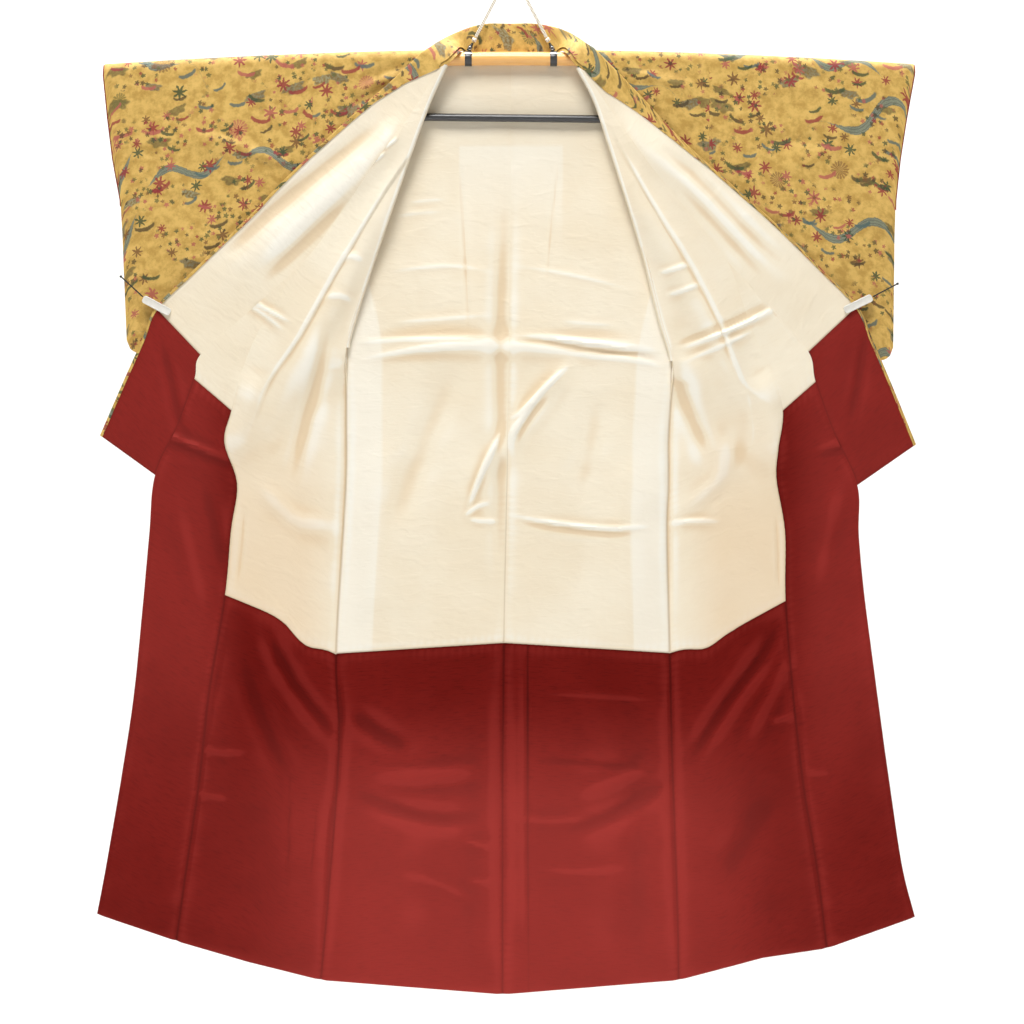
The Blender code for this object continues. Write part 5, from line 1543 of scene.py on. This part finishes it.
left_band, right_band = (lapel_band(side, GOLD_CELL) for side in SIDES)
ends = [np.concatenate([points[0, 0], points[0, FLAT_COLUMNS]])
        for points, normals in (left_band, right_band)]
middle_band = neck_band(*ends, GOLD_CELL)
points, normals = (np.concatenate([left[::-1], middle, right])
                   for left, middle, right in zip(left_band, middle_band, right_band))
collar = silk_sheet("collar_silk", ["collar"], points, normals)
for side, word in SIDES.items():
    for name, node, first, last, cell, finish, seams in (
            ("cream", "collar_lining", NECK, CLIP, CREAM_CELL, cream_silk, Seams(0.3, 0, 0, 1)),
            ("red", "collar_end_lining", CLIP, COLLAR_END, RED_CELL, red_silk, Seams(1, 0, 1, 1))):
        points, normals = front_net(side, COLLAR, first, last, cell, LINING_COLUMNS)[:2]
        inward = points[:, -2] - points[:, -1]
        points[:, -1] += inward / np.linalg.norm(inward, axis=1, keepdims=True) * LINING_INSET
        low = LINING_NEAR + eased(points, seams, COLLAR_PUFF, COLLAR_PUCKER)
        cloth(f"collar_{name}_{word}", points, normals, low, 0.5 * LINING_WALL, finish,
              [f"{node}_{word}"], seams)

# %% [markdown]
# A sleeve is one cloth folded over the pole and sewn along the bottom and up the lower half of the
# cuff. Its outer lower corner is rounded. The cuff stays open above, with a red facing inside it.

# %% The sleeves
SLEEVE_CORNER = 22 * MM
CUFF_FACING = 0.72
CUFF_REACH = 2 * MM
CUFF_OPENING = 0.5
CUFF_CLOSING = 0.1
CUFF_SEAM_START = 0.7
BOTTOM_CLOSING_START = 0.6
ARMHOLE_FADE = 0.1
BOTTOM_FADE = 0.25
TOP_FADE = 0.08
SLEEVE_WIDTH = 0.33
SLEEVE_DROP = 0.49
CUFF_WIDTH = 340 * MM
CUFF_COLUMNS = 20
CUFF_ROWS = 45
SLEEVE_TURNS = 10


def cuff_x(side, z):
    """The cuff edge's distance from the centre at this height."""
    edge = np.array(CUFF_EDGE[side][::-1]) * MM
    return np.interp(z, edge[:, 0], edge[:, 1])


def sleeve_points(side, share, across, facing):
    """Points of a sleeve: a share of the way down one wall, and across from armhole to cuff."""
    low_z, low_x = np.array(CUFF_EDGE[side][-1]) * MM
    x = ARMHOLE_X + (low_x - ARMHOLE_X) * across
    into_corner = np.maximum(0.0, x - (low_x - SLEEVE_CORNER))
    corner = SLEEVE_CORNER - np.sqrt(np.maximum(SLEEVE_CORNER ** 2 - into_corner ** 2, 0.0))
    top = pole_z(x)
    bottom = low_z + corner
    z = top + (bottom - top) * share
    x = ARMHOLE_X + (cuff_x(side, z) - ARMHOLE_X) * across
    fallen = np.clip((pole_z(x) - z) / (pole_z(x) - bottom), 0.0, 1.0)
    cuff_seam = smoothstep((across - CUFF_SEAM_START) / (1 - CUFF_SEAM_START))
    cuff_seam = cuff_seam * smoothstep((fallen - CUFF_OPENING) / CUFF_CLOSING)
    bottom_seam = smoothstep((fallen - BOTTOM_CLOSING_START) / (1 - BOTTOM_CLOSING_START))
    closing = 1 - (1 - cuff_seam) * (1 - bottom_seam)
    half_gap = DRAPE_RADIUS * (1 - fallen) + BODY_HALF_GAP * fallen
    half_gap += (SLEEVE_HALF_GAP - half_gap) * closing
    mirrored = side * x * (1 if facing < 0 else -1)
    relief = folds_height(side * x, z, SLEEVE_FOLDS) if facing < 0 else 0.0
    relief = relief + creases_height(mirrored, z, SLEEVE_CREASES) + ripples(x, z, RIPPLE)
    edges = smoothstep(across / ARMHOLE_FADE) * smoothstep((1 - fallen) / BOTTOM_FADE)
    edges = edges * smoothstep(fallen / TOP_FADE)
    y = MEET_DEPTH * fallen + facing * (half_gap + relief * edges)
    return np.stack([side * x, y, z], axis=-1)


def sleeve_net(side, across, rows):
    """Rows from the back's lower edge over the pole to the front's lower edge."""
    share, across = np.meshgrid(rows, across, indexing="ij")
    rear = sleeve_points(side, share[::-1], across, 1)
    front = sleeve_points(side, share, across, -1)
    crest = rear[-1]
    turns = np.linspace(0, math.pi, SLEEVE_TURNS + 1)[1:-1, None]
    radius = crest[:, 1]
    over = np.stack([np.broadcast_to(crest[:, 0], (SLEEVE_TURNS - 1, len(radius))),
                     radius * np.cos(turns), crest[:, 2] + radius * np.sin(turns)], axis=-1)
    points = np.concatenate([rear, over, front])
    return points, inner_normals(points, side)


for side, word in SIDES.items():
    points, normals = sleeve_net(side, shares(SLEEVE_WIDTH, GOLD_CELL), shares(SLEEVE_DROP, GOLD_CELL))
    silk = silk_sheet(f"sleeve_silk_{word}", [f"sleeve_{word}"], points, normals)
    across = np.append(np.linspace(CUFF_FACING, 1, CUFF_COLUMNS), 1 + CUFF_REACH / CUFF_WIDTH)
    points, normals = sleeve_net(side, across, np.linspace(0, CUFF_OPENING, CUFF_ROWS))
    low = np.full(points.shape[:2], LINING_NEAR)
    cloth(f"sleeve_cuff_{word}", points, normals, low, LINING_WALL, red_silk,
          [f"sleeve_cuff_lining_{word}"])
print("cloth pieces:", len(made_pieces), "faces in all:", sum(made_pieces.values()))

# %% [markdown]
# The hanger is a varnished wooden pole, a little bowed, with a thin black rod under it. Each begins as
# a cylinder. The pole is cut into rings along its length, rounded at its ends and bent to its bow.

# %% Finishes of the hanger and clips
GRAIN_STRETCH = (0.08, 1.0, 1.0)


def clouded(name, colour, roughness, scale, dark, light, **sockets):
    """A hard finish, faintly clouded."""
    made = Recipe(name, colour, roughness, **sockets)
    made.paint(made.blend(made.noise(made.object_place(), scale, 3.0), dark, light))
    return made


wood = Recipe("orange_wood", (0.95, 0.50, 0.15), 0.30, Coat_Weight=0.5, Coat_Roughness=0.28,
              Specular_IOR_Level=0.5)
grain = wood.noise(wood.squeezed(wood.object_place(), GRAIN_STRETCH), 500.0, 4.0, 0.6)
wood.paint(wood.blend(wood.soft_step(grain, 0.2, 0.8), (0.93, 0.46, 0.12), (1.0, 0.56, 0.17)))
wood.bump(grain, 0.00005, 0.5)
metal = clouded("black_metal", (0.030, 0.029, 0.030), 0.34, 90.0, (0.022, 0.021, 0.021),
                (0.050, 0.047, 0.046), Coat_Weight=0.4, Coat_Roughness=0.2)
metal.bump(metal.noise(metal.object_place(), 900.0, 2.0), 0.00004, 0.5)
steel = clouded("steel", (0.55, 0.55, 0.54), 0.28, 700.0, (0.45, 0.45, 0.44), (0.68, 0.68, 0.67),
                Metallic=1.0)
plastic = clouded("white_plastic", (0.80, 0.77, 0.69), 0.38, 160.0, (0.72, 0.68, 0.59),
                  (0.84, 0.82, 0.75))
plastic.bump(plastic.noise(plastic.object_place(), 1400.0, 2.0), 0.00005, 0.6)
finishes = {made.material["slot"]: made.material for made in (wood, metal, steel, plastic)}
for name, dark, light in (("white_cord", (0.62, 0.53, 0.40), (0.92, 0.88, 0.78)),
                          ("black_cord", (0.006, 0.006, 0.006), (0.030, 0.026, 0.024))):
    fibre = Recipe(name, light, 0.75, Sheen_Weight=0.1)
    # The twist's darker bands are painted shade in the grooves between the strands
    twist = fibre.add("TexWave", fibre.object_place(), 130.0, 2.0, bands_direction="DIAGONAL", out=1)
    fibre.paint(fibre.blend(twist, dark, light))
    fibre.bump(twist, 0.00025, 0.8)
    finishes[name] = fibre.material
print("finishes:", len(bpy.data.materials))

# %% The pole and the lower rod
POLE_SIDES = 32
POLE_RINGS = 26
ROD_SIDES = 24
ROD_SLOPE = 2.8 / 240
ROD_RADIUS = 6.5 * MM
ROD_RINGS = 3
POLE_ROUNDING = 6 * MM
ROD_ROUNDING = 1.6 * MM
TOUCH = 0.01 * MM


def model_bar(node, radius, sides, rings, rounding):
    """A round bar along X as long as its node, cut into rings and rounded at its ends."""
    low, high = (np.array(corner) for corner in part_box(node))
    middle = (low + high) / 2
    half = (high[0] - low[0]) / 2
    bar = start_piece(bpy.ops.mesh.primitive_cylinder_add, vertices=sides, radius=radius, depth=2 * half,
                      rotation=(0.0, math.pi / 2, 0.0), location=(middle[0], middle[1], 0.0))
    pick(bar, "edges", lambda edge: abs(edge.verts[0].co.x - edge.verts[1].co.x) > half)
    bpy.ops.mesh.subdivide(number_cuts=rings)
    pick(bar, "edges", lambda edge: min(abs(vert.co.x - middle[0]) for vert in edge.verts) > half - TOUCH)
    bpy.ops.mesh.bevel(offset=rounding, segments=5, affect="EDGES")
    close_piece(bar)
    return bar


pole = model_bar("hanger_pole", POLE_RADIUS, POLE_SIDES, POLE_RINGS, POLE_ROUNDING)
for vertex in pole.data.vertices:
    vertex.co.z += pole_z(vertex.co.x)
fit_out(pole, "wooden_pole", "orange_wood", ["hanger_pole"])
low, high = (np.array(corner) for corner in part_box("lower_rod"))
rod = model_bar("lower_rod", ROD_RADIUS, ROD_SIDES, ROD_RINGS, ROD_ROUNDING)
for vertex in rod.data.vertices:
    vertex.co.z += (low[2] + high[2]) / 2 - ROD_SLOPE * vertex.co.x
fit_out(rod, "black_rod", "black_metal", ["lower_rod"])
print("pole and rod, faces:", len(pole.data.polygons), len(rod.data.polygons))

# %% [markdown]
# A flat black strap goes round the pole at each side, pinched by a small bright clasp. Above it stands
# a swivel snap: a short barrel with a neck and a wire eye. Both are modelled once and copied.

# %% Straps, clasps and snaps
STRAP_WIDTH = 11.4 * MM
STRAP_WALL = 0.8 * MM
CLASP_TURN = math.radians(38)
CLASP_HEIGHT = 3.4 * MM
CLASP_REACH = POLE_RADIUS + 1.5 * MM
NECK_RISES = ((1.2 * MM, 2.6 * MM), (0.4 * MM, 3.4 * MM))
EYE_UP = 5.2 * MM
EYE_FORWARD = 4.0 * MM


def model_strap():
    """A band round the pole at x = 0, made of a ring given a wall."""
    strap = start_piece(bpy.ops.mesh.primitive_cylinder_add, vertices=40, radius=POLE_RADIUS + 0.3 * MM,
                        depth=STRAP_WIDTH, end_fill_type="NOTHING", rotation=(0.0, math.pi / 2, 0.0))
    modify(strap, "SOLIDIFY", thickness=STRAP_WALL, offset=1.0)
    modify(strap, "BEVEL", width=0.2 * MM, segments=2)
    close_piece(strap)
    return strap


def model_clasp():
    """A small grooved plate across the strap, over the pole's upper front."""
    clasp = start_piece(bpy.ops.mesh.primitive_cube_add, size=1.0,
                        scale=(12.6 * MM, 1.2 * MM, CLASP_HEIGHT))
    pick(clasp, "faces", lambda face: face.normal.y < -FACING)
    bpy.ops.mesh.subdivide(number_cuts=2)
    pick(clasp, "faces",
         lambda face: face.normal.y < -FACING and abs(face.calc_center_median().z) < CLASP_HEIGHT / 6)
    bpy.ops.transform.translate(value=(0.0, 0.7 * MM, 0.0))
    close_piece(clasp)
    modify(clasp, "BEVEL", width=0.15 * MM, segments=2)
    clasp.rotation_euler = (-CLASP_TURN, 0.0, 0.0)
    clasp.location = (0.0, -CLASP_REACH * math.cos(CLASP_TURN), CLASP_REACH * math.sin(CLASP_TURN))
    bpy.ops.object.transform_apply()
    return clasp


def model_snap():
    """The snap's barrel and neck, standing on the strap."""
    snap = start_piece(bpy.ops.mesh.primitive_cylinder_add, vertices=20, radius=3.7 * MM, depth=9.0 * MM,
                       location=(0.0, 0.0, 5.0 * MM))
    pick(snap, "faces", lambda face: face.normal.z > FACING)
    for narrowing, rise in NECK_RISES:
        bpy.ops.mesh.inset(thickness=narrowing)
        bpy.ops.mesh.extrude_region_move(TRANSFORM_OT_translate={"value": (0.0, 0.0, rise)})
    close_piece(snap)
    modify(snap, "BEVEL", width=0.5 * MM, segments=3)
    return snap


def model_eye():
    """The snap's wire eye, facing forward."""
    eye = start_piece(bpy.ops.mesh.primitive_torus_add, major_radius=2.5 * MM, minor_radius=0.85 * MM,
                      major_segments=28, minor_segments=10, rotation=(math.pi / 2, 0.0, 0.0))
    pick(eye, "faces", lambda face: face.calc_center_median().z > 1.6 * MM)
    bpy.ops.transform.resize(value=(0.8, 1.0, 1.25))
    close_piece(eye)
    return eye


models = {"hanger_strap": model_strap(), "strap_clasp": model_clasp(), "hanger_snap": model_snap(),
          "snap_eye": model_eye()}
for side, word in SIDES.items():
    strap_top, up, lean = snap_places[side]
    axis = (strap_top[0], 0.0, strap_top[2] - STRAP_TOP)
    strap = turned_copy(models["hanger_strap"], 0.0, axis)
    fit_out(strap, f"black_strap_{word}", "black_metal", [f"hanger_strap_{word}"])
    fit_out(turned_copy(models["strap_clasp"], 0.0, axis), f"strap_clasp_{word}", "steel")
    snap = turned_copy(models["hanger_snap"], lean, strap_top)
    fit_out(snap, f"swivel_snap_{word}", "black_metal", [f"hanger_snap_{word}"])
    eye_place = strap_top + up * EYE_UP - np.array((0.0, EYE_FORWARD, 0.0))
    fit_out(turned_copy(models["snap_eye"], lean, eye_place), f"snap_eye_{word}", "steel")
for model in models.values():
    bpy.data.objects.remove(model)
print("fittings:", len(waiting))

# %% [markdown]
# The clips are white plastic: two jaws that grip the folded edge, joined behind by a block with a
# spring pin. One jaw is modelled, with rounded corners and a shallow thumb dish, and copied.

# %% Clips
CLIP_LENGTH = 51 * MM
CLIP_WIDTH = 13 * MM
JAW = 2.5 * MM
MOUTH = 5.6 * MM
JAW_ROUNDING = 4.2 * MM
JAW_DISH = ((0.9 * MM, -0.5 * MM), (1.3 * MM, 0.45 * MM))
BLOCK_SIZE = (20 * MM, MOUTH, 10 * MM)
BLOCK_X = -14 * MM
PIN_RADIUS = 1.5 * MM
PIN_LENGTH = 13.6 * MM
PIN_X = -8 * MM
CLIP_LEAN = {LEFT: math.radians(28), RIGHT: math.radians(-26)}


def model_jaw():
    """The front jaw, its corners rounded and a thumb dish pressed into its outer half."""
    jaw = start_piece(bpy.ops.mesh.primitive_cube_add, size=1.0, scale=(CLIP_LENGTH, JAW, CLIP_WIDTH),
                      location=(0.0, -(MOUTH + JAW) / 2, 0.0))
    pick(jaw, "edges", lambda edge: abs(edge.verts[0].co.y - edge.verts[1].co.y) > JAW / 2)
    bpy.ops.mesh.bevel(offset=JAW_ROUNDING, segments=6, affect="EDGES")
    pick(jaw, "faces", lambda face: face.normal.y < -FACING)
    for narrowing, push in JAW_DISH:
        bpy.ops.mesh.inset(thickness=narrowing)
        bpy.ops.transform.translate(value=(0.0, push, 0.0))
    close_piece(jaw)
    return jaw


def model_clip():
    """Two jaws, the block between them and the pin through it."""
    front = model_jaw()
    rear = turned_copy(front, 0.0, (0.0, 0.0, 0.0), math.pi)
    block = start_piece(bpy.ops.mesh.primitive_cube_add, size=1.0, scale=BLOCK_SIZE,
                        location=(BLOCK_X, 0.0, 0.0))
    pick(block, "edges", lambda edge: True)
    bpy.ops.mesh.bevel(offset=0.8 * MM, segments=2, affect="EDGES")
    close_piece(block)
    pin = start_piece(bpy.ops.mesh.primitive_cylinder_add, vertices=20, radius=PIN_RADIUS,
                      depth=PIN_LENGTH, location=(PIN_X, 0.0, 0.0))
    pick(pin, "faces", lambda face: abs(face.normal.z) > FACING)
    bpy.ops.mesh.inset(thickness=0.4 * MM)
    close_piece(pin)
    return joined("clip", front, rear, block, pin)


clip = model_clip()
for side, word in SIDES.items():
    low, high = (np.array(corner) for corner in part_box(f"clip_{word}"))
    turn = CLIP_LEAN[side] + (math.pi if side == RIGHT else 0.0)
    fit_out(turned_copy(clip, turn, tuple((low + high) / 2)), f"edge_clip_{word}", "white_plastic",
            [f"clip_{word}"])
bpy.data.objects.remove(clip)
for piece, slot in waiting:
    piece.data.materials.clear()
    piece.data.materials.append(finishes[slot])
for node, slot in (("hanger_ring", "steel"), ("hanger_link_left", "black_metal"),
                   ("hanger_link_right", "black_metal")):
    bpy.data.objects[node].material_slots[0].material = finishes[slot]
print("hanger pieces:", len(waiting))

# %% [markdown]
# The set is a pale floor that runs up into a pale backdrop well behind the garment, so no shadow of
# it shows. One large soft lamp hangs high in front and a little to the left, and a wide weak one
# fills from the front, as in a catalogue studio. The paper is clear from behind and a lamp stands
# there, so that the garment's back can be looked at too.

# %% Floor, backdrop and light
FLOOR_Z = -2.05
WALL_Y = 1.6
SWEEP_RADIUS = 0.6
STAGE_HALF = 6.0
FLOOR_FRONT = -9.0
WALL_TOP = 4.0
GARMENT_MIDDLE = (0, 0, -0.9)
ROOM_LIGHT = 0.10
steps = [math.radians(angle) for angle in range(0, 91, 10)]
profile = [(FLOOR_FRONT, FLOOR_Z)]
profile += [(WALL_Y - SWEEP_RADIUS + SWEEP_RADIUS * math.sin(angle),
             FLOOR_Z + SWEEP_RADIUS - SWEEP_RADIUS * math.cos(angle)) for angle in steps]
profile.append((WALL_Y, WALL_TOP))
corners = [(x, y, z) for y, z in profile for x in (-STAGE_HALF, STAGE_HALF)]
faces = [(2 * row, 2 * row + 1, 2 * row + 3, 2 * row + 2) for row in range(len(profile) - 1)]
sweep_mesh = bpy.data.meshes.new("backdrop")
sweep_mesh.from_pydata(corners, [], faces)
backdrop = bpy.data.objects.new("backdrop", sweep_mesh)
bpy.context.scene.collection.objects.link(backdrop)
paper = Recipe("backdrop_paper", (0.93, 0.93, 0.93), 0.95)
from_behind = paper.add("NewGeometry").node.outputs["Backfacing"]
clear = paper.add("BsdfTransparent")
two_sided = paper.add("MixShader", from_behind, paper.shader.outputs["BSDF"], clear)
paper_output = next(node for node in paper.tree.nodes if node.type == "OUTPUT_MATERIAL")
paper.tree.links.new(two_sided, paper_output.inputs["Surface"])
sweep_mesh.materials.append(paper.material)
select_only(backdrop)
bpy.ops.object.shade_smooth()


def soft_lamp(name, place, target, size, watts):
    """A square area lamp that faces a target."""
    data = bpy.data.lights.new(name, "AREA")
    data.size = size
    data.energy = watts
    lamp = bpy.data.objects.new(name, data)
    way = np.array(target, float) - np.array(place, float)
    flat = math.hypot(way[0], way[1])
    lamp.location = place
    lamp.rotation_euler = (math.pi / 2 + math.atan2(way[2], flat), 0.0, math.atan2(-way[0], way[1]))
    bpy.context.scene.collection.objects.link(lamp)


soft_lamp("key", (-0.7, -3.4, 4.2), GARMENT_MIDDLE, 2.4, 300)
soft_lamp("front_fill", (1.0, -6.5, -0.6), GARMENT_MIDDLE, 4.0, 34)
soft_lamp("wall_wash", (0, 0.5, 2.6), (0, WALL_Y, -1.0), 2.5, 150)
soft_lamp("rear_key", (1.4, 5.2, 2.4), GARMENT_MIDDLE, 2.4, 210)
world = bpy.data.worlds.new("studio")
world.use_nodes = True
world.node_tree.nodes["Background"].inputs["Color"].default_value = (1, 1, 1, 1)
world.node_tree.nodes["Background"].inputs["Strength"].default_value = ROOM_LIGHT
bpy.context.scene.world = world
bpy.context.scene.view_settings.view_transform = "Standard"
